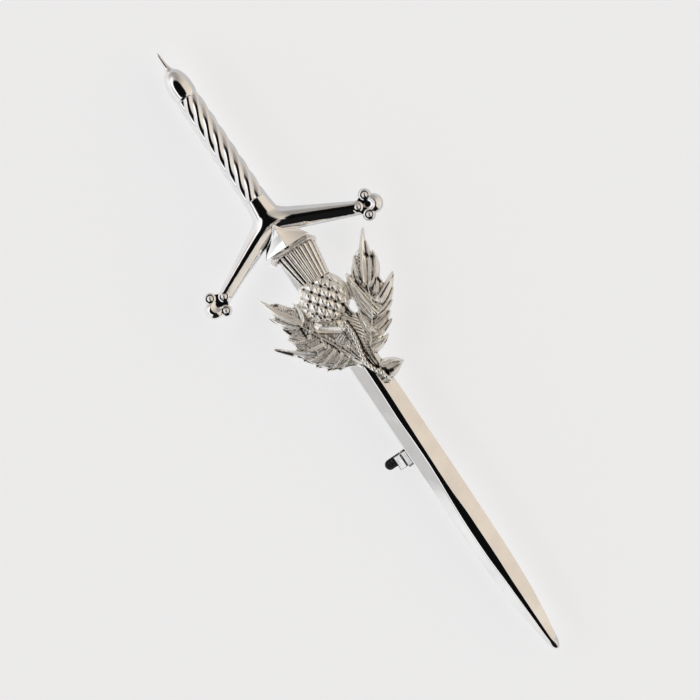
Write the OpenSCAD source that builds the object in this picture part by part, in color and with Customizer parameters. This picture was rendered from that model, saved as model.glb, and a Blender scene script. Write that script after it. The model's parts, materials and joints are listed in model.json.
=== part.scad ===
// Kilt pin in the form of a claymore with a cast thistle on the front of its blade.
// It lies on its back: +Z is the front, +Y runs towards the pommel, +X to the right of the front.
// The origin is on the table, under the middle of the whole pin.

/* [Blade] */
// Length of the blade, from the middle of the guard to the point
blade_len = 77.2; // [70:0.2:86]
// Width of the blade along its parallel stretch
blade_w = 4.8; // [4.4:0.1:5.6]
// Thickness of the blade at its ridge
blade_h = 2; // [1.8:0.1:2.4]
// Thickness of the blade at its two edges
blade_edge_h = 0.7; // [0.5:0.05:0.9]
// Width of the soft band that runs along the ridge
ridge_band_w = 1; // [0.6:0.1:1.4]
// Fall of the band from the ridge to its sides
ridge_band_drop = 0.12; // [0.06:0.02:0.2]
// Distance from the middle of the guard down to the blade's shoulder
shoulder_inset = 0.8; // [0.6:0.1:1.2]
// Diameter of the tang that carries the guard, the grip and the pommel
tang_d = 1.5; // [1.2:0.1:1.6]

/* [Grip and pommel] */
// Length of the twisted grip
grip_len = 18.2; // [16:0.2:21]
// Diameter of the grip over its strands
grip_d = 3.8; // [3.6:0.1:4.2]
// Number of strands in the twist
grip_strands = 6; // [5:1:8]
// Depth of the grooves between the strands
groove_depth = 0.3; // [0.2:0.01:0.45]
// Turns that a strand makes along the grip
grip_turns = 1.1; // [0.7:0.05:1.3]
// Length of the rounded pommel
pommel_len = 4.8; // [4.2:0.1:5.6]
// Largest diameter of the pommel
pommel_d = 3.9; // [3.7:0.1:4.4]
// Length of the point on the pommel
spire_len = 3.3; // [2.6:0.1:4.2]
// Diameter of the point where it grows out of the pommel
spire_d = 1.6; // [1.3:0.1:1.8]
// Depth of the tang in the pommel
tang_seat = 2.6; // [2:0.1:3.2]

/* [Crossguard] */
// Distance from the middle of the sword out to the middle of a quatrefoil
guard_reach = 13.45; // [12:0.05:15]
// Drop of a quatrefoil below the middle of the guard
guard_drop = 5.9; // [4.8:0.1:6.8]
// Thickness of the guard at its ridge, in the middle
guard_h = 2.6; // [2.5:0.1:3]
// Thickness of an arm at its ridge, at the quatrefoil
arm_end_h = 1.8; // [1.5:0.1:2.1]
// Thickness of the guard along its edges
guard_edge_h = 0.9; // [0.8:0.05:1.1]
// Width of an arm above its ridge, in the middle of the guard
arm_upper_w = 2.5; // [2.2:0.1:2.8]
// Width of an arm below its ridge, in the middle of the guard
arm_lower_w = 1.9; // [1.6:0.1:2.2]
// Width of an arm above its ridge, at the quatrefoil
arm_end_upper_w = 0.95; // [0.8:0.05:1.2]
// Width of an arm below its ridge, at the quatrefoil
arm_end_lower_w = 1.45; // [1.2:0.05:1.6]
// Distance of the four balls from the middle of the quatrefoil
ball_ring_r = 1.5; // [1.4:0.05:1.6]
// Diameter of a ball of the quatrefoil
ball_d = 2.05; // [1.8:0.05:2.2]
// Turn of the four balls from level
ball_turn = 20; // [10:1:35]
// Diameter of the hub between the balls
hub_d = 3.3; // [3:0.1:3.6]
// Thickness of the hub
hub_h = 1.2; // [1:0.1:1.4]
// Diameter of the hollow in the front of the hub
dimple_d = 1.3; // [1:0.1:1.5]
// Depth of that hollow
dimple_depth = 0.3; // [0.2:0.05:0.4]
// Length of the collar, from the middle of the guard up to the grip
collar_len = 4.2; // [3.6:0.1:5]
// Width of the collar where it meets the guard
collar_w = 4.8; // [4.4:0.1:5.2]
// Share of the grip's thickness that the collar keeps where it meets the guard
collar_flat = 0.92; // [0.85:0.01:1]
// Length of the collar's straight foot above the middle of the guard
collar_foot = 0.25; // [0.1:0.05:0.5]
// Length of the pointed skirt that covers the top of the blade
skirt_len = 4.5; // [4:0.1:5]
// Width of the skirt at its lower end
skirt_w = 7.8; // [7:0.1:8.4]
// Width of the skirt at the middle of the guard
skirt_top_w = 1.3; // [1:0.1:2]

/* [Thistle] */
// Distance from the middle of the guard down to the middle of the bulb
bulb_at = 13.95; // [13.6:0.05:15]
// Shift of the thistle to the right of the blade's ridge
thistle_shift = 0.2; // [-0.4:0.05:0.6]
// Diameter of the bulb
bulb_d = 8.1; // [7.4:0.1:8.8]
// Height of the bulb in front of the leaves' back
bulb_h = 3.3; // [2.9:0.1:3.8]
// Distance between neighbouring studs in a row of the bulb
stud_pitch = 1.55; // [1.3:0.05:1.8]
// Diameter of a stud
stud_d = 1.15; // [0.9:0.05:1.3]
// Number of strands in the tuft
tuft_strands = 8; // [6:1:10]
// Length of the tuft, from the middle of the bulb up to its brim
tuft_len = 9.2; // [8.8:0.1:9.4]
// Width of the tuft under its brim
tuft_w = 6; // [5.4:0.1:6.6]
// Width of the tuft where it leaves the bulb
tuft_neck_w = 4.3; // [3.8:0.1:5]
// Height of the tuft in front of the leaves' back
tuft_h = 2.2; // [1.9:0.1:2.6]
// Width of the brim of the tuft
brim_w = 7.9; // [7.2:0.1:8.4]
// Length of the brim along the sword
brim_len = 1.1; // [0.9:0.05:1.3]
// Reach of the leaves, from the middle of the bulb out to the furthest tip
leaf_reach = 10.6; // [9.6:0.1:11.6]
// Thickness of a leaf at its midrib
leaf_h = 1.25; // [1.1:0.05:1.5]
// Height of the leaves' back above the blade's back
leaf_lift = 0.9; // [0.8:0.05:1.1]
// Length of the stem, from the middle of the bulb down to its foot
stem_len = 15.2; // [14:0.1:16.4]
// Width of the stem
stem_w = 1.5; // [1.2:0.1:1.8]
// Height of the stem in front of the leaves' back
stem_h = 2; // [1.7:0.1:2.4]
// Diameter of a bead on the stem
bead_d = 0.72; // [0.6:0.02:0.85]
// Width of a lobe of a leaf at its tip
lobe_tip_w = 0.3; // [0.2:0.02:0.4]
// Diameter of the two posts that rivet the thistle to the blade
post_d = 1.2; // [1:0.1:1.4]
// Distance of the lower post below the middle of the bulb
lower_post_at = 8.6; // [7.6:0.1:9.4]

/* [Pin and catch] */
// Height of the blade's back above the table
stand_h = 3.8; // [3.7:0.05:4.4]
// Diameter of the pin's stem
pin_d = 1; // [0.9:0.02:1.04]
// Distance of the pin and the catch to the left of the blade's ridge
pin_shift = 1.95; // [1.8:0.05:2]
// Length of the pin's sharp end
pin_point_len = 3; // [2:0.1:4]
// Diameter of the pin at its very tip
pin_tip_d = 0.12; // [0.08:0.02:0.2]
// Length of the pin past the catch
pin_past_catch = 4; // [3.4:0.1:6]
// Distance from the middle of the guard down to the hinge
hinge_at = 4.3; // [4:0.1:5.2]
// Width of the hinge block
hinge_w = 4.4; // [4.2:0.1:4.6]
// Diameter of the hinge's barrel
hinge_d = 2.4; // [2.1:0.1:2.6]
// Height of the barrel above the table, so that only the flat foot touches it
barrel_lift = 0.05; // [0.03:0.01:0.1]
// Width of the flat that the hinge rests on
foot_w = 1.6; // [1.2:0.1:1.8]
// Thickness of the plates that hold the hinge and the catch to the blade
plate_h = 0.6; // [0.4:0.05:0.65]
// Distance from the middle of the guard down to the middle of the catch
catch_at = 40.85; // [38:0.05:44]
// Diameter of the catch's housing
catch_d = 3.1; // [3.05:0.01:3.2]
// Thickness of the housing's wall
catch_wall = 0.44; // [0.36:0.01:0.46]
// Length of the housing
catch_len = 2.15; // [1.9:0.05:2.6]
// Width of the neck between the housing and its plate
catch_neck_w = 1.4; // [1.2:0.05:1.6]
// Inset of the catch's plate from the left edge of the blade
catch_plate_inset = 0.05; // [0:0.05:0.15]
// Reach of that plate past the blade's ridge
catch_plate_past = 0.35; // [0.2:0.05:0.8]
// Length of that plate past the housing, at each end
catch_plate_margin = 0.8; // [0.5:0.1:1.2]
// Shift of the plate's post from its middle towards the ridge
catch_post_shift = 0.15; // [0.05:0.05:0.3]
// Angle at which the housing's mouth starts, counted from +X towards the blade
mouth_from = 148; // [140:1:150]
// Angle at which the housing's mouth ends
mouth_to = 266; // [265:1:268]
// Diameter of the lever's drum
drum_d = 2.1; // [2.06:0.01:2.12]
// Diameter of the flanges at the drum's two ends
flange_d = 2.7; // [2.5:0.05:2.8]
// Thickness of a flange
flange_h = 0.3; // [0.25:0.05:0.4]
// Distance from the middle of the drum out to the end of the lever's tab
tab_reach = 4.35; // [3.8:0.05:5]
// Thickness of the tab
tab_h = 0.45; // [0.4:0.01:0.48]
// Width of the tab along the pin
tab_w = 1.65; // [1.4:0.05:1.9]
// Length of the tab's wide root, from the middle of the drum
tab_root_reach = 2.4; // [2.1:0.05:2.8]
// Angle from the tab back to the slot that lets the pin in
slot_back = 50; // [49:1:51]
// Diameter of the posts that rivet the plates to the blade
plate_post_d = 1; // [0.8:0.05:1.1]
// Depth of those posts in the blade
plate_post_len = 0.85; // [0.6:0.05:0.95]

/* [Fits] */
// Gap between pieces that are seated on each other
seat_gap = 0.04; // [0.02:0.01:0.06]
// Gap around the pin in the drum
pin_gap = 0.06; // [0.04:0.01:0.07]

/* [Hidden] */
// The stretches of the sword add up to its length, and the origin is half way along it
total_len = blade_len + collar_len + grip_len + pommel_len + spire_len;
guard_y = -total_len / 2 + blade_len;
grip_y = guard_y + collar_len;
pommel_y = grip_y + grip_len;
bulb_y = guard_y - bulb_at;
catch_y = guard_y - catch_at;
hinge_y = guard_y - hinge_at;
blade_z = stand_h;
axis_z = blade_z + blade_h / 2;
leaf_z = blade_z + leaf_lift;
plate_z = blade_z - seat_gap - plate_h;
catch_z = catch_d / 2;
catch_plate_from = -blade_w / 2 + catch_plate_inset;
catch_post_x = (catch_plate_from + catch_plate_past) / 2 + catch_post_shift;
// Thickness of the thin sections that a hull joins, and the length that a cut runs past its piece
slab = 0.02;
overcut = 1;
// Sides of what is turned or bored, of a ball, and of the thistle's cast forms
turn_fn = 48;
bore_fn = 32;
ball_fn = 32;
cast_fn = 12;
stud_fn = 8;
bead_fn = 6;
// Points around one strand of the grip, and slices along the grip
strand_points = 8;
grip_slices = 30;
// Share of the hub's diameter by which an arm stops short of the hub's middle
arm_end_share = 1 / 3;
// Height of the neck's foot above the middle of the catch, as a share of catch_d
catch_neck_share = 0.35;

// Taper of the blade: share of the length, share of the width, share of the thickness
BLADE_TAPER = [
    [0.60, 1.00, 1.00],
    [0.70, 0.98, 0.99],
    [0.78, 0.94, 0.96],
    [0.83, 0.88, 0.92],
    [0.88, 0.79, 0.86],
    [0.92, 0.66, 0.78],
    [0.95, 0.54, 0.70],
    [0.975, 0.43, 0.62],
    [0.992, 0.32, 0.54],
    [1.00, 0.12, 0.36],
];
// Outline of the pommel: share of its length, share of its radius
POMMEL_TURNING = [
    [0.00, 0.84], [0.06, 0.93], [0.16, 0.985], [0.34, 1.00], [0.52, 0.98],
    [0.68, 0.90], [0.82, 0.77], [0.93, 0.60], [1.00, 0.42],
];
// Outline of the point on the pommel: share of its length, share of its radius
SPIRE_TURNING = [[0.12, 0.72], [0.32, 0.48], [0.62, 0.33], [0.92, 0.22], [1.00, 0.10]];

// Rows of studs, as a share of stud_pitch, and the sink of a stud, as a share of stud_d
stud_row_share = 0.8;
stud_sink = 0.12;
// Width of the crest of a rib and of a leaf's plate, as a share of its foot
rib_crest = 0.35;
plate_crest = 0.65;
// The tuft: its neck as a share of bulb_d, the overlap of its strands, the fall towards its sides
tuft_neck_share = 0.36;
strand_overlap = 1.7;
tuft_fall = 1.2;
// The web that joins the strands: its height as a share of tuft_h, and the length of its two ends
web_share = 0.6;
web_end = 0.4;
// Brim of the tuft: share of brim_w, drop and length as shares of brim_len, share of tuft_h
BRIM = [
    [0.000, 0.50, 1.00, 1.25],
    [0.360, 0.55, 1.00, 1.05],
    [0.456, 0.90, 0.64, 0.70],
];
brim_crest = 0.45;
// The scale below the bulb: its middle, span and thickness as shares of bulb_d, stretch and slope
bract_at = [-0.2, -0.5];
bract_span = 0.28;
bract_share = 0.19;
bract_stretch = 1.2;
bract_slope = -30;
// Width of a midrib as a share of leaf_reach, and of its tip; height of a lobe's tip
midrib_share = 0.05;
midrib_tip = 0.5;
lobe_tip_share = 0.55;

// Leaves, in shares of leaf_reach from the middle of the bulb.
// Plate of a leaf and of the stem: x, y, half width, share of leaf_h
LEFT_PLATE = [
    [-0.10, -0.96, 0.100, 0.95],
    [-0.33, -0.76, 0.200, 0.90],
    [-0.50, -0.50, 0.240, 0.85],
    [-0.53, -0.22, 0.200, 0.80],
    [-0.56, 0.04, 0.170, 0.75],
    [-0.64, 0.25, 0.100, 0.65],
    [-0.765, 0.485, 0.012, 0.45],
];
RIGHT_PLATE = [
    [0.13, -0.96, 0.100, 0.95],
    [0.33, -0.76, 0.160, 0.90],
    [0.49, -0.50, 0.220, 0.85],
    [0.64, -0.22, 0.215, 0.80],
    [0.71, 0.02, 0.180, 0.75],
    [0.84, 0.26, 0.100, 0.65],
    [1.00, 0.51, 0.012, 0.45],
];
STEM_PLATE = [
    [0.07, -0.38, 0.190, 0.95],
    [-0.01, -0.75, 0.220, 1.05],
    [0.02, -1.02, 0.170, 1.05],
    [0.10, -1.22, 0.110, 1.10],
    [0.17, -1.38, 0.080, 1.10],
];
// Midrib of a leaf: x, y, share of leaf_h
LEFT_MIDRIB = [
    [-0.10, -0.94, 1.30], [-0.25, -0.61, 1.30], [-0.40, -0.32, 1.20],
    [-0.54, -0.03, 1.10], [-0.65, 0.24, 0.95], [-0.76, 0.47, 0.60],
];
RIGHT_MIDRIB = [
    [0.14, -0.94, 1.30], [0.38, -0.64, 1.30], [0.62, -0.36, 1.20],
    [0.74, -0.02, 1.10], [0.87, 0.27, 0.95], [0.99, 0.49, 0.60],
];
// Lobes of a leaf: root x, root y, tip x, tip y, half width at the root, share of leaf_h
LEFT_LOBES = [
    [-0.12, -0.90, -0.37, -0.985, 0.070, 1.15],
    [-0.19, -0.78, -0.53, -0.915, 0.090, 1.20],
    [-0.26, -0.64, -0.65, -0.750, 0.100, 1.25],
    [-0.34, -0.49, -0.82, -0.450, 0.110, 1.30],
    [-0.44, -0.32, -0.98, -0.225, 0.110, 1.35],
    [-0.54, -0.10, -0.80, 0.180, 0.100, 1.25],
    [-0.52, -0.05, -0.42, 0.200, 0.090, 1.25],
];
RIGHT_LOBES = [
    [0.19, -0.91, 0.50, -0.960, 0.070, 1.15],
    [0.30, -0.77, 0.65, -0.740, 0.090, 1.20],
    [0.42, -0.61, 0.78, -0.560, 0.100, 1.25],
    [0.56, -0.44, 1.00, -0.250, 0.110, 1.35],
    [0.68, -0.26, 0.91, -0.050, 0.095, 1.25],
    [0.75, -0.03, 0.95, 0.170, 0.085, 1.20],
    [0.72, -0.16, 0.50, 0.085, 0.100, 1.20],
    [0.79, 0.06, 0.71, 0.270, 0.075, 1.15],
];
// Small inner leaves beside the stem and the bulb: the same columns as the lobes
INNER_LEAVES = [
    [-0.12, -0.84, -0.27, -0.420, 0.080, 1.20],
    [0.10, -0.88, 0.17, -0.480, 0.095, 1.20],
    [0.24, -0.76, 0.36, -0.440, 0.070, 1.15],
    [0.48, -0.42, 0.45, -0.020, 0.095, 1.20],
];
// Path of the stem, in shares of stem_len from the middle of the bulb
STEM_PATH = [
    [0.02, -0.33], [0.02, -0.54], [0.00, -0.66], [-0.01, -0.78], [0.03, -0.87], [0.09, -0.95],
];
// Width of the stem's rib as a share of stem_w, and the beads on each stretch of its path
stem_share = 1.3;
beads_per_stretch = 3;
// The split foot, from the end of the stem: start and end in shares of stem_len,
// then the shares of stem_w and of stem_h at its start and its end
STEM_FOOT = [
    [0.00, 0.00, 0.03, -0.09, 1.00, 0.70, 1.00, 0.75],
    [-0.02, 0.05, 0.20, 0.00, 1.10, 0.50, 0.95, 0.70],
];

// The solids, one at a time

// Closed skin through a list of rings with the same number of points each
module loft(rings) {
    n = len(rings[0]);
    last = len(rings) - 1;
    points = [for (ring = rings) for (p = ring) p];
    sides = [
        for (i = [0 : last - 1]) for (j = [0 : n - 1])
            let (a = i * n + j, b = i * n + (j + 1) % n)
                each [[a, b + n, b], [a, a + n, b + n]]
    ];
    polyhedron(
        points = points,
        faces = concat([[for (j = [0 : n - 1]) j]], sides, [[for (j = [n - 1 : -1 : 0]) last * n + j]])
    );
}

// Turns a shape that stands on XY so that it runs along +Y from the given point
module along_y(x, y, z) {
    translate([x, y, z]) rotate([-90, 0, 0]) children();
}

// Half section of the blade at a share of its width and thickness, grown all round for a seat
function blade_ring(y, width_share, height_share, grow = 0) =
    let (
        half = blade_w / 2 * width_share + grow,
        band = ridge_band_w / 2 * width_share,
        back = blade_z - (grow > 0 ? overcut : 0),
        edge = blade_z + blade_edge_h * height_share + grow,
        ridge = blade_z + blade_h * height_share + grow,
        shoulder = ridge - ridge_band_drop * height_share
    )
    [
        [-half, y, back], [half, y, back], [half, y, edge], [band, y, shoulder],
        [0, y, ridge], [-band, y, shoulder], [-half, y, edge],
    ];

// The space that the blade takes up in the pieces that sit on it
module blade_seat() {
    loft([
        blade_ring(guard_y - shoulder_inset + seat_gap, 1, 1, seat_gap),
        blade_ring(guard_y - blade_len * BLADE_TAPER[0][0], 1, 1, seat_gap),
    ]);
}

module blade_post_bores() {
    for (y = [bulb_y, bulb_y - lower_post_at])
        translate([0, y, blade_z - overcut])
            cylinder(d = post_d + 2 * seat_gap, h = blade_h + 2 * overcut, $fn = bore_fn);
    for (at = [[0, hinge_y], [catch_post_x, catch_y]])
        translate([at[0], at[1], blade_z - overcut])
            cylinder(d = plate_post_d + 2 * seat_gap, h = plate_post_len + overcut, $fn = bore_fn);
}

module tang(length, grow = 0) {
    along_y(0, guard_y - shoulder_inset - overcut, axis_z)
        cylinder(d = tang_d + 2 * grow, h = length + shoulder_inset + overcut, $fn = turn_fn);
}

module blade() {
    color("#cfd0d2") difference() {
        union() {
            loft(concat(
                [blade_ring(guard_y - shoulder_inset, 1, 1)],
                [for (row = BLADE_TAPER) blade_ring(guard_y - blade_len * row[0], row[1], row[2])]
            ));
            tang(collar_len + grip_len + tang_seat);
        }
        blade_post_bores();
    }
}

// Section of an arm, a thin slab across it
module arm_section(x, upper_w, lower_w, thick) {
    translate([x, guard_y - x * guard_drop / guard_reach, blade_z])
        rotate([90, 0, 90])
            linear_extrude(slab)
                polygon([
                    [upper_w, 0], [upper_w, guard_edge_h], [0, thick],
                    [-lower_w, guard_edge_h], [-lower_w, 0],
                ]);
}

module arm() {
    hull() {
        arm_section(0, arm_upper_w, arm_lower_w, guard_h);
        arm_section(guard_reach - hub_d * arm_end_share, arm_end_upper_w, arm_end_lower_w, arm_end_h);
    }
}

module quatrefoil() {
    translate([guard_reach, guard_y - guard_drop, axis_z]) difference() {
        union() {
            cylinder(d = hub_d, h = hub_h, center = true, $fn = turn_fn);
            for (i = [0 : 3])
                rotate([0, 0, i * 90 - ball_turn])
                    translate([ball_ring_r, 0, 0]) sphere(d = ball_d, $fn = ball_fn);
        }
        for (side = [-1, 1])
            translate([0, 0, side * (hub_h / 2 - dimple_depth + dimple_d / 2)])
                sphere(d = dimple_d, $fn = ball_fn);
    }
}

// Section of the skirt, a thin slab across the blade
module skirt_section(y, width) {
    translate([0, y, blade_z])
        rotate([90, 0, 0])
            linear_extrude(slab)
                polygon([
                    [-width / 2, 0], [-width / 2, guard_edge_h], [0, guard_h],
                    [width / 2, guard_edge_h], [width / 2, 0],
                ]);
}

module collar() {
    hull() {
        along_y(0, grip_y - slab, axis_z) cylinder(d = grip_d, h = slab, $fn = turn_fn);
        along_y(0, guard_y + collar_foot, axis_z)
            scale([collar_w / grip_d, collar_flat, 1]) cylinder(d = grip_d, h = slab, $fn = turn_fn);
    }
}

module crossguard() {
    color("#c3c3c5") difference() {
        union() {
            for (side = [0, 1]) mirror([side, 0, 0]) {
                arm();
                quatrefoil();
            }
            hull() {
                skirt_section(guard_y, skirt_top_w);
                skirt_section(guard_y - skirt_len + slab, skirt_w);
            }
            collar();
        }
        blade_seat();
        tang(collar_len + overcut, seat_gap);
    }
}

// Outline of the grip, a ring of rounded strands
function strand_outline() =
    let (steps = strand_points * grip_strands)
    [
        for (i = [0 : steps - 1])
            let (
                angle = i * 360 / steps,
                r = grip_d / 2 - groove_depth * (1 - abs(cos(angle * grip_strands / 2)))
            )
            r * [cos(angle), sin(angle)]
    ];

module grip() {
    length = grip_len - 2 * seat_gap;
    color("#d3d3d3") difference() {
        along_y(0, grip_y + seat_gap, axis_z)
            linear_extrude(height = length, twist = -360 * grip_turns, slices = grip_slices)
                polygon(strand_outline());
        tang(collar_len + grip_len + overcut, seat_gap);
    }
}

module pommel() {
    body = [for (p = POMMEL_TURNING) [p[1] * pommel_d / 2, p[0] * pommel_len]];
    point = [for (p = SPIRE_TURNING) [p[1] * spire_d / 2, pommel_len + p[0] * spire_len]];
    color("#c8c8c8") difference() {
        along_y(0, pommel_y, axis_z)
            rotate_extrude($fn = turn_fn)
                polygon(concat([[0, 0]], body, point, [[0, pommel_len + spire_len]]));
        tang(collar_len + grip_len + tang_seat + seat_gap, seat_gap);
    }
}

// A low dome of the given size on the leaves' back
module dome(diameter, height) {
    intersection() {
        scale([1, 1, 2 * height / diameter]) sphere(d = diameter, $fn = ball_fn);
        translate([-diameter, -diameter, 0]) cube([2 * diameter, 2 * diameter, diameter]);
    }
}

// Height of the bulb's surface at a distance from its middle
function bulb_surface(r) = bulb_h * sqrt(max(0, 1 - pow(2 * r / bulb_d, 2)));

module bulb() {
    rows = floor(bulb_d / stud_pitch);
    dome(bulb_d, bulb_h);
    for (i = [-rows : rows]) for (j = [-rows : rows])
        let (
            x = (i + (j % 2 == 0 ? 0 : 0.5)) * stud_pitch,
            y = j * stud_pitch * stud_row_share,
            r = norm([x, y])
        )
        if (r < bulb_d / 2 - stud_d / 2)
            translate([x, y, bulb_surface(r) - stud_d * stud_sink]) sphere(d = stud_d, $fn = stud_fn);
}

// A strand of the tuft, or another tapered rib, between two points with their own widths and tops
module rib(from, to, from_w, to_w, from_h, to_h) {
    hull() {
        translate([from[0], from[1], 0])
            cylinder(d1 = from_w, d2 = from_w * rib_crest, h = from_h, $fn = cast_fn);
        translate([to[0], to[1], 0]) cylinder(d1 = to_w, d2 = to_w * rib_crest, h = to_h, $fn = cast_fn);
    }
}

module tuft() {
    neck_y = bulb_d * tuft_neck_share;
    top_y = tuft_len - brim_len / 2;
    last = tuft_strands - 1;
    top_w = tuft_w / tuft_strands;
    neck_w = tuft_neck_w / tuft_strands;
    for (i = [0 : last])
        let (
            across = i / last - 0.5,
            crown = 1 - tuft_fall * across * across
        )
        rib(
            [across * (tuft_neck_w - neck_w), neck_y], [across * (tuft_w - top_w), top_y],
            neck_w * strand_overlap, top_w * strand_overlap, tuft_h * crown, tuft_h * crown
        );
    hull() {
        translate([-tuft_w / 2, top_y - web_end, 0]) cube([tuft_w, web_end, tuft_h * web_share]);
        translate([-tuft_neck_w / 2, neck_y, 0]) cube([tuft_neck_w, web_end, tuft_h * web_share]);
    }
    // The brim is a shallow arch with its ends turned down
    for (side = [-1, 1])
        hull() for (row = BRIM)
            translate([side * row[0] * brim_w, tuft_len - row[1] * brim_len, 0])
                cylinder(
                    d1 = row[2] * brim_len, d2 = row[2] * brim_len * brim_crest,
                    h = row[3] * tuft_h, $fn = cast_fn
                );
}

// A stretch of a leaf's plate, at one row of its table
module plate_post(row) {
    translate([row[0] * leaf_reach, row[1] * leaf_reach, 0])
        cylinder(
            r1 = row[2] * leaf_reach, r2 = row[2] * leaf_reach * plate_crest,
            h = row[3] * leaf_h, $fn = cast_fn
        );
}

module leaf_plate(rows) {
    for (i = [0 : len(rows) - 2])
        hull() {
            plate_post(rows[i]);
            plate_post(rows[i + 1]);
        }
}

// The midrib stands proud of the leaf from its root nearly to its tip
module leaf_midrib(rows) {
    root_w = midrib_share * leaf_reach;
    last = len(rows) - 2;
    for (i = [0 : last])
        let (
            a = rows[i],
            b = rows[i + 1],
            end_w = i == last ? root_w * midrib_tip : root_w
        )
        rib(a * leaf_reach, b * leaf_reach, root_w, end_w, a[2] * leaf_h, b[2] * leaf_h);
}

module leaf_lobes(rows) {
    for (row = rows)
        let (
            root = [row[0], row[1]] * leaf_reach,
            tip = [row[2], row[3]] * leaf_reach,
            root_w = 2 * row[4] * leaf_reach,
            top = row[5] * leaf_h
        )
        rib(root, tip, root_w, lobe_tip_w, top, top * lobe_tip_share);
}

module stem() {
    path = [for (p = STEM_PATH) p * stem_len];
    for (i = [0 : len(path) - 2]) {
        rib(path[i], path[i + 1], stem_w * stem_share, stem_w * stem_share, stem_h, stem_h);
        for (k = [0 : beads_per_stretch - 1])
            let (p = path[i] + (path[i + 1] - path[i]) * k / beads_per_stretch)
            translate([p[0], p[1], stem_h]) sphere(d = bead_d, $fn = bead_fn);
    }
    // The split foot turns out to the right
    foot = path[len(path) - 1];
    for (row = STEM_FOOT)
        rib(
            foot + [row[0], row[1]] * stem_len, foot + [row[2], row[3]] * stem_len,
            row[4] * stem_w, row[5] * stem_w, row[6] * stem_h, row[7] * stem_h
        );
}

// The smooth scale that lies across the bottom of the bulb
module bract() {
    translate([bract_at[0] * bulb_d, bract_at[1] * bulb_d, 0]) rotate([0, 0, bract_slope])
        hull() for (side = [-1, 1])
            translate([side * bract_span / 2 * bulb_d, 0, leaf_h])
                scale([bract_stretch, 1, 1]) sphere(d = bract_share * bulb_d, $fn = cast_fn);
}

module thistle_relief() {
    bulb();
    translate([bulb_d * 0.05, 0, 0]) tuft();
    for (rows = [LEFT_PLATE, RIGHT_PLATE, STEM_PLATE]) leaf_plate(rows);
    for (rows = [LEFT_MIDRIB, RIGHT_MIDRIB]) leaf_midrib(rows);
    leaf_lobes(LEFT_LOBES);
    leaf_lobes(RIGHT_LOBES);
    leaf_lobes(INNER_LEAVES);
    stem();
    bract();
}

module thistle() {
    color("#8f8a82") union() {
        difference() {
            translate([thistle_shift, bulb_y, leaf_z]) thistle_relief();
            blade_seat();
        }
        for (y = [bulb_y, bulb_y - lower_post_at])
            translate([0, y, blade_z]) cylinder(d = post_d, h = blade_h + leaf_lift / 2, $fn = bore_fn);
    }
}

module pin() {
    point_y = catch_y - pin_past_catch;
    color("#d9d9da") union() {
        translate([-hinge_w / 2, hinge_y - hinge_w / 2, plate_z]) cube([hinge_w, hinge_w, plate_h]);
        translate([0, hinge_y, blade_z - seat_gap - plate_h / 2])
            cylinder(d = plate_post_d, h = plate_h / 2 + plate_post_len, $fn = bore_fn);
        translate([-hinge_w / 2, hinge_y, hinge_d / 2 + barrel_lift])
            rotate([0, 90, 0]) cylinder(d = hinge_d, h = hinge_w, $fn = turn_fn);
        translate([-hinge_w / 2, hinge_y - foot_w / 2, 0]) cube([hinge_w, foot_w, plate_z + plate_h / 2]);
        along_y(-pin_shift, point_y + pin_point_len, catch_z)
            cylinder(d = pin_d, h = hinge_y - point_y - pin_point_len, $fn = bore_fn);
        along_y(-pin_shift, point_y, catch_z)
            cylinder(d1 = pin_tip_d, d2 = pin_d, h = pin_point_len, $fn = bore_fn);
    }
}

// The open mouth of the housing, a wedge from its middle outwards
module mouth_wedge() {
    far = catch_d;
    mid = (mouth_from + mouth_to) / 2;
    along = [mouth_from, mid, mouth_to];
    rotate([90, 0, 0])
        translate([0, 0, -catch_len])
            linear_extrude(2 * catch_len)
                polygon(concat([[0, 0]], [for (a = along) 2 * far * [cos(a), sin(a)]]));
}

module catch() {
    plate_len = catch_len + 2 * catch_plate_margin;
    neck_z = catch_z + catch_neck_share * catch_d;
    color("#b4b4b6") union() {
        difference() {
            union() {
                along_y(-pin_shift, catch_y - catch_len / 2, catch_z)
                    cylinder(d = catch_d, h = catch_len, $fn = turn_fn);
                translate([catch_plate_from, catch_y - catch_len / 2, neck_z])
                    cube([catch_neck_w, catch_len, plate_z - neck_z + plate_h / 2]);
            }
            along_y(-pin_shift, catch_y - catch_len, catch_z)
                cylinder(d = catch_d - 2 * catch_wall, h = 2 * catch_len, $fn = turn_fn);
            translate([-pin_shift, catch_y, catch_z]) mouth_wedge();
        }
        translate([catch_plate_from, catch_y - plate_len / 2, plate_z])
            cube([catch_plate_past - catch_plate_from, plate_len, plate_h]);
        translate([catch_post_x, catch_y, blade_z - seat_gap - plate_h / 2])
            cylinder(d = plate_post_d, h = plate_h / 2 + plate_post_len, $fn = bore_fn);
    }
}

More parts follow.
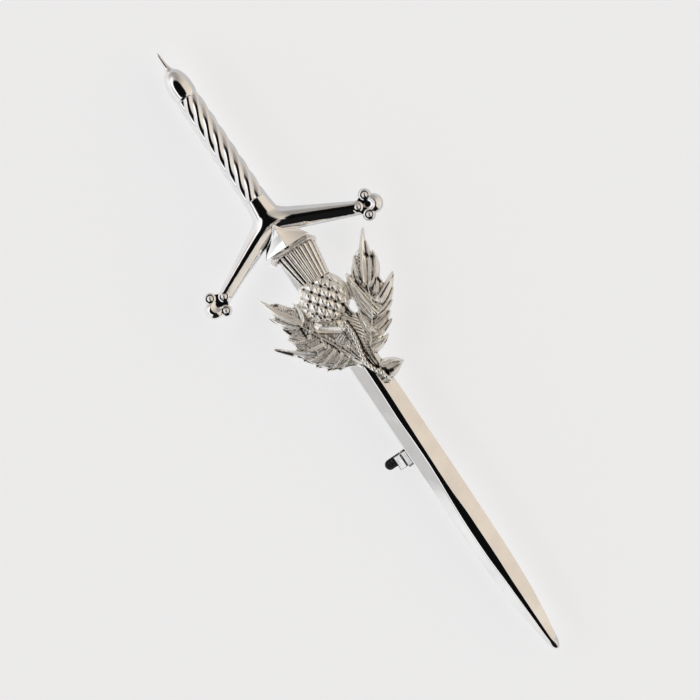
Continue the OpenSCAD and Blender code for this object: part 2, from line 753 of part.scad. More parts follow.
module catch_lever() {
    drum_len = catch_len + 2 * seat_gap;
    whole_len = drum_len + 2 * flange_h;
    slot_w = pin_d + 2 * pin_gap;
    tab_mid = whole_len / 2 - tab_w / 2;
    color("#a5a5a8") translate([-pin_shift, catch_y, catch_z]) difference() {
        union() {
            along_y(0, -whole_len / 2, 0) cylinder(d = drum_d, h = whole_len, $fn = turn_fn);
            for (y = [-whole_len / 2, whole_len / 2 - flange_h])
                along_y(0, y, 0) cylinder(d = flange_d, h = flange_h, $fn = turn_fn);
            translate([0, 0, -tab_h / 2]) {
                translate([-tab_root_reach, -drum_len / 2 + seat_gap, 0])
                    cube([tab_root_reach, drum_len - 2 * seat_gap, tab_h]);
                translate([-tab_reach + tab_w / 2, tab_mid - tab_w / 2, 0])
                    cube([tab_reach - tab_w / 2, tab_w, tab_h]);
                translate([-tab_reach + tab_w / 2, tab_mid, 0])
                    cylinder(d = tab_w, h = tab_h, $fn = bore_fn);
            }
        }
        along_y(0, -whole_len, 0) cylinder(d = slot_w, h = 2 * whole_len, $fn = turn_fn);
        rotate([0, slot_back, 0])
            translate([-flange_d, -whole_len, -slot_w / 2])
                cube([flange_d, 2 * whole_len, slot_w]);
    }
}

blade();
crossguard();
grip();
pommel();
thistle();
pin();
catch();
catch_lever();
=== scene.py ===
"""Dresses a kilt pin shaped as a claymore with a cast thistle on its blade.

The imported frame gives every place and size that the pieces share. Each sub-assembly is a class that
builds its own fine mesh, in millimetres, and dresses it with a finish. The studio is a pale light table
under a soft surround, and the camera looks straight down, as in the photograph.
"""

import json
import logging
import math
from abc import ABC, abstractmethod
from collections.abc import Callable, Sequence
from dataclasses import dataclass, field, replace
from enum import Enum
from typing import ClassVar

import bmesh
import bpy
import numpy as np
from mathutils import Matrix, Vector

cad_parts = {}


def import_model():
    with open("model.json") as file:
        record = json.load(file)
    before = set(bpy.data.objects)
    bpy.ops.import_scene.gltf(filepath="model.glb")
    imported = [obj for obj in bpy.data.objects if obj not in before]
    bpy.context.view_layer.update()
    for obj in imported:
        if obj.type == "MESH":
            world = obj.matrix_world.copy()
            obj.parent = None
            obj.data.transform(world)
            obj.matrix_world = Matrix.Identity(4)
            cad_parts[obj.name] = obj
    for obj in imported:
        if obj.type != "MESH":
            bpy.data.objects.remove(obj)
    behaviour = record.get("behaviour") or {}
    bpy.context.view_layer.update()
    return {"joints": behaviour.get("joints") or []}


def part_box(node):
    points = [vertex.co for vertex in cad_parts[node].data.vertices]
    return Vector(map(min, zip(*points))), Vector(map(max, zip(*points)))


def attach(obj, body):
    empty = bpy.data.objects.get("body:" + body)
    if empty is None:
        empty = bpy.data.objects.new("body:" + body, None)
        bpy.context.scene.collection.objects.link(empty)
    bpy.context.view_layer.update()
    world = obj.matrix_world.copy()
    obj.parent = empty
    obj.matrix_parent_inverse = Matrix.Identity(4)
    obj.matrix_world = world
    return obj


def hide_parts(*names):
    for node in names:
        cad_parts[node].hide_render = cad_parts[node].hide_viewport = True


MM = 0.001  # one millimetre, in metres
TINY = 1e-9  # keeps a length that something is divided by above zero
PROBE = 0.05  # distance over which a field's slope is measured, as a share of the grid's step
LEAST_SLOPE = 1e-6  # least squared slope that a point settles by
MOST_MOVE = 0.4  # most that a point settles in one round, as a share of the grid's step
FAR = 9.0  # a distance beyond every form of the relief
WALL = 4.0  # how steeply the relief falls beyond the border of a form
PHOTO_TURN = -33.97  # direction of the photograph's right side in the model's frame, in degrees

Array = np.ndarray
Field = Callable[[Array, Array, Array], Array]
Pair = tuple[float, float]
Triple = tuple[float, float, float]
Rows = tuple[tuple[float, ...], ...]
Piece = bpy.types.Object
Socket = bpy.types.NodeSocket
Links = dict[int | str, Socket]
Values = dict[int | str, float | Sequence[float]]
log = logging.getLogger("kilt_pin")


class Body(Enum):
    """The bodies that the pieces ride on."""

    SWORD = "sword"
    LEVER = "lever"


class Slot(Enum):
    """The material slots that the pieces take their finish from."""

    CHROME = "polished_chrome"
    ANTIQUED = "antiqued_chrome"
    WIRE = "pin_steel"
    LEVER = "lever_steel"


class Cut(Enum):
    """How one solid works on another."""

    JOIN = "UNION"
    REMOVE = "DIFFERENCE"


class Profile(Enum):
    """How a ridge falls from its crest to its border."""

    ROUND = 2.0
    SOFT = 1.5
    KEEN = 1.0


# Fields: a field is positive inside a solid and negative outside it, in millimetres


def soft_join(a: Array, b: Array, blend: float) -> Array:
    """Unites two fields with a small fillet between them.

    Args:
        a: The first field.
        b: The second field.
        blend: Width of the fillet.

    Returns:
        The field of both together.
    """
    share = np.clip(0.5 + 0.5 * (a - b) / blend, 0, 1)
    return b + (a - b) * share + blend * share * (1 - share)


def soft_meet(a: Array, b: Array, blend: float) -> Array:
    """Keeps what two fields share, with a small round along the edge.

    Args:
        a: The first field.
        b: The second field.
        blend: Width of the round.

    Returns:
        The field of what they share.
    """
    return -soft_join(-a, -b, blend)


def soft_cut(a: Array, b: Array, blend: float) -> Array:
    """Cuts one field out of another, with a small round along the edge.

    Args:
        a: The field that is cut.
        b: The field that is taken away.
        blend: Width of the round.

    Returns:
        The field of what is left.
    """
    return -soft_join(-a, b, blend)


def between(pair: Pair, share: Array) -> Array:
    """Gives the value at a share of the way from the first of a pair to the second."""
    return pair[0] + (pair[1] - pair[0]) * share


def slab(value: Array, low: float, high: float) -> Array:
    """Gives the field of the space between two parallel planes.

    Args:
        value: The coordinate across the planes.
        low: The lower plane.
        high: The upper plane.

    Returns:
        The field.
    """
    return np.minimum(value - low, high - value)


def block(x: Array, y: Array, z: Array, low: Triple, high: Triple, blend: float) -> Array:
    """Gives the field of a block with soft edges.

    Args:
        x: Coordinates to the right.
        y: Coordinates along the sword.
        z: Coordinates towards the front.
        low: The block's lowest corner.
        high: The block's highest corner.
        blend: Width of the rounds.

    Returns:
        The field.
    """
    made = soft_meet(slab(x, low[0], high[0]), slab(y, low[1], high[1]), blend)
    return soft_meet(made, slab(z, low[2], high[2]), blend)


def grid_values(solid: Field, axes: list[Array]) -> Array:
    """Works a field out on a grid.

    Args:
        solid: The field.
        axes: The grid's coordinates along x, y and z.

    Returns:
        A value for each point of the grid.
    """
    x, y, z = axes
    values = solid(x[:, None, None], y[None, :, None], z[None, None, :])
    return np.ascontiguousarray(np.broadcast_to(values, [len(a) for a in axes]))


def settle(solid: Field, points: Array, step: float, rounds: int) -> Array:
    """Moves the points of a skin exactly onto the surface of its field.

    Args:
        solid: The field.
        points: The points.
        step: Spacing of the grid that they come from.
        rounds: How often each point is moved.

    Returns:
        The settled points.
    """
    reach = step * PROBE
    for _ in range(rounds):
        value = solid(*points.T)
        slope = np.empty_like(points)
        for axis in range(3):
            shift = np.zeros(3)
            shift[axis] = reach
            slope[:, axis] = solid(*(points + shift).T) - solid(*(points - shift).T)
        slope /= 2 * reach
        steepness = np.maximum((slope**2).sum(1), LEAST_SLOPE)
        move = -(value / steepness)[:, None] * slope
        length = np.maximum(np.linalg.norm(move, axis=1), TINY)
        points = points + move * np.minimum(1, MOST_MOVE * step / length)[:, None]
    return points


def skin(
    solid: Field, low: Sequence[float], high: Sequence[float], step: float, rounds: int = 3
) -> tuple[Array, Array]:
    """Covers a field with one closed skin of four-sided faces.

    Args:
        solid: The field.
        low: Lowest corner of the space that holds it.
        high: Highest corner of that space.
        step: Spacing of the grid.
        rounds: How often each point is settled on the surface.

    Returns:
        The points and the faces.
    """
    margin = 2 * step
    axes = [np.arange(low[k] - margin, high[k] + margin + step, step) for k in range(3)]
    values = grid_values(solid, axes)
    inside = values > 0
    cells = tuple(len(a) - 1 for a in axes)
    total, hits, crossings = np.zeros((3, math.prod(cells))), np.zeros(math.prod(cells)), []
    for axis in range(3):
        ahead = [slice(None)] * 3
        behind = [slice(None)] * 3
        ahead[axis], behind[axis] = slice(1, None), slice(0, -1)
        start = np.argwhere(inside[tuple(ahead)] != inside[tuple(behind)])
        end = start.copy()
        end[:, axis] += 1
        first, second = values[tuple(start.T)], values[tuple(end.T)]
        place = start.astype(float)
        place[:, axis] += first / (first - second)
        u, w = (axis + 1) % 3, (axis + 2) % 3
        corners = []
        for du, dw in ((1, 1), (0, 1), (0, 0), (1, 0)):
            cell = start.copy()
            cell[:, u] -= du
            cell[:, w] -= dw
            flat = np.ravel_multi_index(tuple(cell.T), cells)
            hits += np.bincount(flat, minlength=len(hits))
            for k in range(3):
                total[k] += np.bincount(flat, weights=place[:, k], minlength=len(hits))
            corners.append(flat)
        quads = np.stack(corners, 1)
        quads[first < 0] = quads[first < 0][:, ::-1]
        crossings.append(quads)
    used = hits > 0
    index = np.cumsum(used) - 1
    origin = np.array([a[0] for a in axes])
    points = (total[:, used] / hits[used]).T * step + origin
    return settle(solid, points, step, rounds), index[np.concatenate(crossings)]


# Lofts and plain mesh work


def curve_through(knots: Array, values: Array, at: Array) -> Array:
    """Runs a smooth curve through the rows of a short table.

    Args:
        knots: Rising positions of the rows.
        values: Value of each row.
        at: Positions to read the curve at.

    Returns:
        The curve's values there.
    """
    slope = np.gradient(values, knots)
    row = np.clip(np.searchsorted(knots, at) - 1, 0, len(knots) - 2)
    gap = knots[row + 1] - knots[row]
    t = np.clip((at - knots[row]) / gap, 0, 1)
    rise = values[row + 1] - values[row]
    bend_a, bend_b = slope[row] * gap - rise, rise - slope[row + 1] * gap
    return values[row] + t * rise + t * (1 - t) * (bend_a * (1 - t) + bend_b * t)


def table_value(rows: Rows, share: float, column: int = 1) -> float:
    """Reads a smooth curve through one column of a table.

    Args:
        rows: The table, with the share of the length in its first column.
        share: The share that is asked for.
        column: The column that is read.

    Returns:
        The value.
    """
    table = np.array(rows)
    return float(curve_through(table[:, 0], table[:, column], np.array([share]))[0])


def loft(rings: Array, hollow: bool = False) -> tuple[Array, list[list[int]]]:
    """Joins rings of points into a closed body.

    Args:
        rings: The rings, each with the same number of points.
        hollow: True if the last ring meets the first one, as in a tube with a bore.

    Returns:
        The points and the faces.
    """
    count, around = rings.shape[:2]
    faces = []
    for i in range(count if hollow else count - 1):
        a, b = i * around, (i + 1) % count * around
        for j in range(around):
            k = (j + 1) % around
            faces.append([a + j, a + k, b + k, b + j])
    if not hollow:
        faces += [list(range(around))[::-1], [(count - 1) * around + j for j in range(around)]]
    return rings.reshape(-1, 3), faces


def even_angles(count: int) -> Array:
    """Gives the angles of even steps round a circle."""
    return np.arange(count) * 2 * math.pi / count


def ring_about(x: float, y: float, z: float, radius: float | Array, angle: Array) -> Array:
    """Draws a ring about an axis that runs along the sword.

    Args:
        x: The axis' place to the right.
        y: The ring's place along the sword.
        z: The axis' height.
        radius: The ring's radius, or the radius of each of its points.
        angle: The angle of each point.

    Returns:
        The points.
    """
    return np.stack([x + radius * np.cos(angle), np.full(len(angle), y), z + radius * np.sin(angle)], 1)


def turned(profile: Sequence[Pair], x: float, z: float, sides: int) -> Array:
    """Turns a profile about an axis that runs along the sword.

    Args:
        profile: Pairs of radius and place along the sword.
        x: The axis' place to the right.
        z: The axis' height.
        sides: Number of sides.

    Returns:
        The rings.
    """
    angle = even_angles(sides)
    return np.array([ring_about(x, y, z, radius, angle) for radius, y in profile])


def hollows_of(points: Array, faces: Array, rounds: int, depth: float) -> Array:
    """Says how deep each point of a skin lies in a hollow.

    Args:
        points: The skin's points.
        faces: Its four-sided faces.
        rounds: How often the comparison skin is smoothed.
        depth: Depth of a hollow that counts as full.

    Returns:
        A number for each point, below zero on a crest and up to one in a hollow.
    """
    edges = np.concatenate([faces[:, [k, (k + 1) % 4]] for k in range(4)])
    count = len(points)
    degree = np.maximum(np.bincount(edges[:, 0], minlength=count), 1)
    smooth = points
    for _ in range(rounds):
        spread = [np.bincount(edges[:, 0], smooth[edges[:, 1], k], count) for k in range(3)]
        smooth = np.stack(spread, 1) / degree[:, None]
    normals = np.zeros_like(points)
    across = np.cross(points[faces[:, 2]] - points[faces[:, 0]], points[faces[:, 3]] - points[faces[:, 1]])
    for corner in range(4):
        for k in range(3):
            normals[:, k] += np.bincount(faces[:, corner], across[:, k], count)
    normals /= np.maximum(np.linalg.norm(normals, axis=1), TINY)[:, None]
    return np.clip(((smooth - points) * normals).sum(1) / depth, -1, 1)


def make_object(name: str, points: Array, faces: Sequence[Sequence[int]]) -> Piece:
    """Makes an object of a mesh in millimetres.

    Args:
        name: Name of the piece.
        points: The points, in millimetres.
        faces: The faces.

    Returns:
        The object, in metres.
    """
    mesh = bpy.data.meshes.new(name)
    mesh.from_pydata((np.asarray(points) * MM).tolist(), [], [list(map(int, f)) for f in faces])
    work = bmesh.new()
    work.from_mesh(mesh)
    bmesh.ops.recalc_face_normals(work, faces=work.faces)
    work.to_mesh(mesh)
    work.free()
    made = bpy.data.objects.new(name, mesh)
    bpy.context.scene.collection.objects.link(made)
    return made


def apply_boolean(piece: Piece, other: Piece, cut: Cut) -> None:
    """Joins or cuts one object with another, which is then removed.

    Args:
        piece: The object that is kept.
        other: The object that it is joined to or cut by.
        cut: Whether it is joined or cut.
    """
    modifier = piece.modifiers.new("work", "BOOLEAN")
    modifier.object, modifier.operation, modifier.solver = other, cut.value, "EXACT"
    graph = bpy.context.evaluated_depsgraph_get()
    made = bpy.data.meshes.new_from_object(piece.evaluated_get(graph))
    piece.modifiers.clear()
    old = piece.data
    piece.data = made
    made.name = piece.name
    bpy.data.meshes.remove(old)
    bpy.data.objects.remove(other)


def upright_rod(x: float, y: float, low: float, high: float, radius: float, sides: int = 40) -> Piece:
    """Makes a round rod that stands on the table.

    Args:
        x: Place to the right.
        y: Place along the sword.
        low: Height of its lower end.
        high: Height of its upper end.
        radius: Its radius.
        sides: Number of its sides.

    Returns:
        The rod.
    """
    angle = even_angles(sides)
    across, along = x + radius * np.cos(angle), y + radius * np.sin(angle)
    rings = [np.stack([across, along, np.full(sides, z)], 1) for z in (low, high)]
    return make_object("rod", *loft(np.array(rings)))


# Finishes


@dataclass(frozen=True)
class Grain:
    """Noise in a finish: its spots to the metre, its finer layers and its squeeze along each axis."""

    scale: float
    detail: float
    stretch: Triple = (1.0, 1.0, 1.0)


class NodeBench:
    """Adds and joins the nodes of one finish."""

    noise_roughness: ClassVar[float] = 0.55
    colour_inputs: ClassVar[tuple[int, int]] = (6, 7)
    colour_output: ClassVar[int] = 2

    def __init__(self, tree: bpy.types.NodeTree) -> None:
        """Starts on an empty tree.

        Args:
            tree: The node tree of a material or of the world.
        """
        self.tree = tree
        tree.nodes.clear()

    def add(
        self, kind: str, links: Links | None = None, values: Values | None = None, **settings: str
    ) -> bpy.types.Node:
        """Adds a node.

        Args:
            kind: The node's type.
            links: Sockets to join, from this node's input to another node's output.
            values: Values of this node's inputs.
            settings: Properties of the node.

        Returns:
            The node.
        """
        node = self.tree.nodes.new(kind)
        for name, value in settings.items():
            setattr(node, name, value)
        for socket, value in (values or {}).items():
            node.inputs[socket].default_value = value
        for socket, source in (links or {}).items():
            self.tree.links.new(source, node.inputs[socket])
        return node

    def noise(self, place: Socket, grain: Grain) -> Socket:
        """Adds noise that is fixed to the object.

        Args:
            place: The object's coordinates.
            grain: The noise.

        Returns:
            The noise's factor.
        """
        mapped = self.add("ShaderNodeMapping", {"Vector": place}, {"Scale": grain.stretch})
        values = {"Scale": grain.scale, "Detail": grain.detail, "Roughness": self.noise_roughness}
        return self.add("ShaderNodeTexNoise", {"Vector": mapped.outputs[0]}, values).outputs[0]

    def ranged(
        self, source: Socket, low: float, high: float, start: float = 0.0, end: float = 1.0
    ) -> Socket:
        """Maps a factor onto another range.

        Args:
            source: The factor.
            low: Value at the start.
            high: Value at the end.
            start: Factor that gives the low value.
            end: Factor that gives the high value.

        Returns:
            The mapped value.
        """
        values = {"From Min": start, "From Max": end, "To Min": low, "To Max": high}
        return self.add("ShaderNodeMapRange", {"Value": source}, values).outputs[0]

    def mixed(self, factor: Socket, first: Socket | Triple, second: Socket | Triple) -> Socket:
        """Mixes two colours by a factor.

        Args:
            factor: The factor.
            first: Colour at zero, or the socket that gives it.
            second: Colour at one, or the socket that gives it.

        Returns:
            The colour.
        """
        links: Links = {0: factor}
        values: Values = {}
        for socket, colour in zip(self.colour_inputs, (first, second)):
            if isinstance(colour, Socket):
                links[socket] = colour
            else:
                values[socket] = (*colour, 1)
        return self.add("ShaderNodeMix", links, values, data_type="RGBA").outputs[self.colour_output]

    def bump(
        self, height: Socket, strength: float, distance: float, under: Socket | None = None
    ) -> Socket:
        """Adds a bump.

        Args:
            height: The height's factor.
            strength: Its strength.
            distance: Its real height, in metres.
            under: Another bump that it lies on, or None.

        Returns:
            The normal.
        """
        links = {"Height": height}
        if under is not None:
            links["Normal"] = under
        return self.add("ShaderNodeBump", links, {"Strength": strength, "Distance": distance}).outputs[0]

    def metal(self, colour: Socket, roughness: Socket, normal: Socket) -> None:
        """Finishes the tree as a bare metal.

        Args:
            colour: Its colour.
            roughness: Its roughness.
            normal: Its normal.
        """
        links = {"Base Color": colour, "Roughness": roughness, "Normal": normal}
        shader = self.add("ShaderNodeBsdfPrincipled", links, {"Metallic": 1.0})
        self.add("ShaderNodeOutputMaterial", {"Surface": shader.outputs[0]})


def new_bench(name: str) -> tuple[bpy.types.Material, NodeBench, Socket]:
    """Makes a material with an empty tree.

    Args:
        name: The material's name.

    Returns:
        The material, its bench and the socket of the object's coordinates.
    """
    material = bpy.data.materials.new(name)
    material.use_nodes = True
    bench = NodeBench(material.node_tree)
    return material, bench, bench.add("ShaderNodeTexCoord").outputs["Object"]


@dataclass(frozen=True)
class PolishedChrome:
    """Buffed chrome plate over a casting: nearly a mirror, with a faint ripple and fine rub marks."""

    bright: Triple = (0.86, 0.855, 0.85)
    cloudy: Triple = (0.76, 0.755, 0.76)
    cloud: Grain = Grain(260, 3)
    cloud_range: Pair = (0.35, 0.75)
    smooth: float = 0.05
    rubbed: float = 0.13
    rub: Grain = Grain(900, 4, (3.0, 0.35, 1.0))
    rub_range: Pair = (0.35, 0.8)
    rub_bump: Pair = (0.05, 0.00001)
    ripple: Grain = Grain(330, 1)
    ripple_bump: Pair = (0.25, 0.00012)

    def material(self) -> bpy.types.Material:
        """Builds the node material.

        Returns:
            The material.
        """
        made, bench, place = new_bench("polished_chrome")
        cloud, rub, ripple = (bench.noise(place, grain) for grain in (self.cloud, self.rub, self.ripple))
        colour = bench.mixed(bench.ranged(cloud, 0, 1, *self.cloud_range), self.bright, self.cloudy)
        rough = bench.ranged(rub, self.smooth, self.rubbed, *self.rub_range)
        normal = bench.bump(rub, *self.rub_bump, bench.bump(ripple, *self.ripple_bump))
        bench.metal(colour, rough, normal)
        return made


@dataclass(frozen=True)
class AntiquedChrome:
    """Cast relief with bright crests and a dark patina that stays in its hollows; the same two colours also
    paint shade and highlights where the thistle's strokes put them.
    """

    crest: Triple = (0.97, 0.95, 0.91)
    middle: Triple = (0.92, 0.89, 0.85)
    patina_and_painted_shade: Triple = (0.05, 0.045, 0.04)
    smooth: float = 0.22
    dull: float = 0.7
    speck: Grain = Grain(2600, 4)
    speck_depth: float = 0.16
    dark_range: Pair = (0.32, 0.90)
    worn_and_highlight_range: Pair = (-0.35, 0.15)
    dull_range: Pair = (-0.4, 0.1)
    grit: Grain = Grain(5200, 3)
    grit_bump: Pair = (0.16, 0.00004)

    def material(self) -> bpy.types.Material:
        """Builds the node material, which reads the hollows that the mesh holds, with painted shade and
        painted highlights added in.

        Returns:
            The material.
        """
        made, bench, place = new_bench("antiqued_chrome")
        # The hollow attribute holds real patina in the hollows plus painted shade and painted highlight
        # strokes; the patina colour paints the shade, the crest colour the highlights.
        hollow = bench.add("ShaderNodeAttribute", attribute_name="hollow").outputs["Fac"]
        specks = bench.ranged(bench.noise(place, self.speck), -self.speck_depth, self.speck_depth)
        depth = bench.add("ShaderNodeMath", {0: hollow, 1: specks}, operation="ADD").outputs[0]
        bare = bench.mixed(bench.ranged(depth, 1, 0, *self.worn_and_highlight_range), self.middle, self.crest)
        colour = bench.mixed(bench.ranged(depth, 0, 1, *self.dark_range), bare, self.patina_and_painted_shade)
        rough = bench.ranged(depth, self.smooth, self.dull, *self.dull_range)
        bench.metal(colour, rough, bench.bump(bench.noise(place, self.grit), *self.grit_bump))
        return made


@dataclass(frozen=True)
class DrawnSteel:
    """Bright drawn wire and folded sheet, with fine lines along the sword."""

    name: str = "drawn_steel"
    bright: Triple = (0.74, 0.74, 0.75)
    grey: Triple = (0.56, 0.56, 0.58)
    stain: Grain = Grain(600, 3)
    stain_range: Pair = (0.35, 0.7)
    smooth: float = 0.16
    rough: float = 0.30
    line: Grain = Grain(1500, 3, (8.0, 0.25, 8.0))
    line_range: Pair = (0.3, 0.7)
    line_bump: Pair = (0.12, 0.00002)

    def material(self) -> bpy.types.Material:
        """Builds the node material.

        Returns:
            The material.
        """
        made, bench, place = new_bench(self.name)
        line, stain = bench.noise(place, self.line), bench.noise(place, self.stain)
        colour = bench.mixed(bench.ranged(stain, 0, 1, *self.stain_range), self.bright, self.grey)
        rough = bench.ranged(line, self.smooth, self.rough, *self.line_range)
        bench.metal(colour, rough, bench.bump(line, *self.line_bump))
        return made


FINISHES: dict[Slot, PolishedChrome | AntiquedChrome | DrawnSteel] = {
    Slot.CHROME: PolishedChrome(),
    Slot.ANTIQUED: AntiquedChrome(),
    Slot.WIRE: DrawnSteel(),
    Slot.LEVER: DrawnSteel(
        name="pressed_steel",
        bright=(0.80, 0.80, 0.80),
        grey=(0.62, 0.62, 0.62),
        line=Grain(1500, 3, (3.0, 1.0, 3.0)),
    ),
}


def mark_hollows(piece: Piece, hollows: Array) -> None:
    """Stores how hollow each point is, with any painted shade and painted highlights added in, for the finish
    to read.

    Args:
        piece: The piece.
        hollows: A number for each point.
    """
    marks = piece.data.attributes.new("hollow", "FLOAT", "POINT")
    marks.data.foreach_set("value", hollows.astype(np.float32))


# What the pieces share


@dataclass(frozen=True)
class Datums:
    """Places and sizes that several pieces share, in millimetres."""

    guard_y: float
    grip_y: float
    pommel_y: float
    end_y: float
    tip_y: float
    tang_y: float
    half_blade: float
    back_z: float
    ridge_z: float
    bulb_y: float
    leaf_z: float
    joint: Triple
    edge_h: float = 0.7
    shoulder: float = 0.8
    tang_r: float = 0.75
    seat_gap: float = 0.04
    post_r: float = 0.6
    lower_post_at: float = 8.6
    hinge_at: float = 4.3
    plate_h: float = 0.6
    plate_post_r: float = 0.5
    plate_post_len: float = 0.85
    plate_post_sink: float = 0.3
    catch_post_x: float = -0.85
    housing_len: float = 2.15

    @property
    def axis_z(self) -> float:
        """Height of the tang's axis."""
        return (self.back_z + self.ridge_z) / 2

    @property
    def blade_h(self) -> float:
        """Height of the blade's ridge over its back."""
        return self.ridge_z - self.back_z

    @property
    def fall(self) -> float:
        """How far the blade's front falls for each millimetre away from its ridge."""
        return (self.blade_h - self.edge_h) / self.half_blade

    @property
    def lower_post_y(self) -> float:
        """Place of the thistle's lower post."""
        return self.bulb_y - self.lower_post_at

    @property
    def hinge_y(self) -> float:
        """Place of the pin's hinge."""
        return self.guard_y - self.hinge_at

    @property
    def plate_top(self) -> float:
        """Height of the front of the two plates behind the blade."""
        return self.back_z - self.seat_gap

    def plate_post(self, away_x: Array, away_y: Array, z: Array) -> Array:
        """Gives the field of the rivet post on a plate.

        Args:
            away_x: Distances from the post's middle to the right.
            away_y: Distances from it along the sword.
            z: Coordinates towards the front.

        Returns:
            The field.
        """
        low, high = self.plate_top - self.plate_post_sink, self.back_z + self.plate_post_len
        return np.minimum(self.plate_post_r - np.hypot(away_x, away_y), slab(z, low, high))

    @classmethod
    def from_frame(
        cls, joints: list[dict], collar_len: float = 4.2, bulb_at: float = 13.95, leaf_lift: float = 0.9
    ) -> "Datums":
        """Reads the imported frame.

        Args:
            joints: The frame's joints.
            collar_len: Length of the collar above the middle of the guard.
            bulb_at: Distance from the middle of the guard down to the bulb.
            leaf_lift: Height of the leaves' back above the blade's back.

        Returns:
            The places.
        """
        nodes = ("blade", "crossguard", "grip", "pommel")
        blade, guard, grip, pommel = ([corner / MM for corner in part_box(node)] for node in nodes)
        guard_y = guard[1].y - collar_len
        return cls(
            guard_y=guard_y,
            grip_y=grip[0].y,
            pommel_y=pommel[0].y,
            end_y=pommel[1].y,
            tip_y=blade[0].y,
            tang_y=blade[1].y,
            half_blade=blade[1].x,
            back_z=blade[0].z,
            ridge_z=blade[1].z,
            bulb_y=guard_y - bulb_at,
            leaf_z=blade[0].z + leaf_lift,
            joint=tuple(v / MM for v in joints[0]["pos_m"]),
        )


@dataclass
class Part(ABC):
    """A sub-assembly of the pin, which builds its own mesh and dresses it."""

    node: ClassVar[str]
    slot: ClassVar[Slot]
    body: ClassVar[Body] = Body.SWORD
    sharp: ClassVar[float]
    places: Datums

    @abstractmethod
    def build(self) -> Piece:
        """Builds the piece."""

    def box(self) -> tuple[Vector, ...]:
        """Gives the lowest and highest corner of the solid that it stands for, in millimetres."""
        return tuple(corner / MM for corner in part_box(self.node))

    def piece_of(self, points: Array, faces: Sequence[Sequence[int]]) -> Piece:
        """Makes the piece of a mesh in millimetres."""
        return make_object(f"{self.node}_dressed", points, faces)

    def dress(self, piece: Piece, material: bpy.types.Material) -> None:
        """Gives the piece its material, shading and body, and hides the solid that it stands for.

        Args:
            piece: The piece.
            material: Its material.
        """
        piece.data.materials.clear()
        piece.data.materials.append(material)
        piece.data.shade_smooth()
        piece.data.set_sharp_from_angle(angle=math.radians(self.sharp))
        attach(piece, self.body.value)
        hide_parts(self.node)


@dataclass
class Skinned(Part):
    """A sub-assembly whose mesh is the skin of a field."""

    step: float

    @abstractmethod
    def solid(self, x: Array, y: Array, z: Array) -> Array:
        """Gives the field of the piece.

        Args:
            x: Coordinates to the right.
            y: Coordinates along the sword.
            z: Coordinates towards the front.

        Returns:
            The field.
        """

    def build(self) -> Piece:
        """Covers the field in the box of the solid that the piece stands for."""
        return self.piece_of(*skin(self.solid, *self.box(), self.step))


# The sword


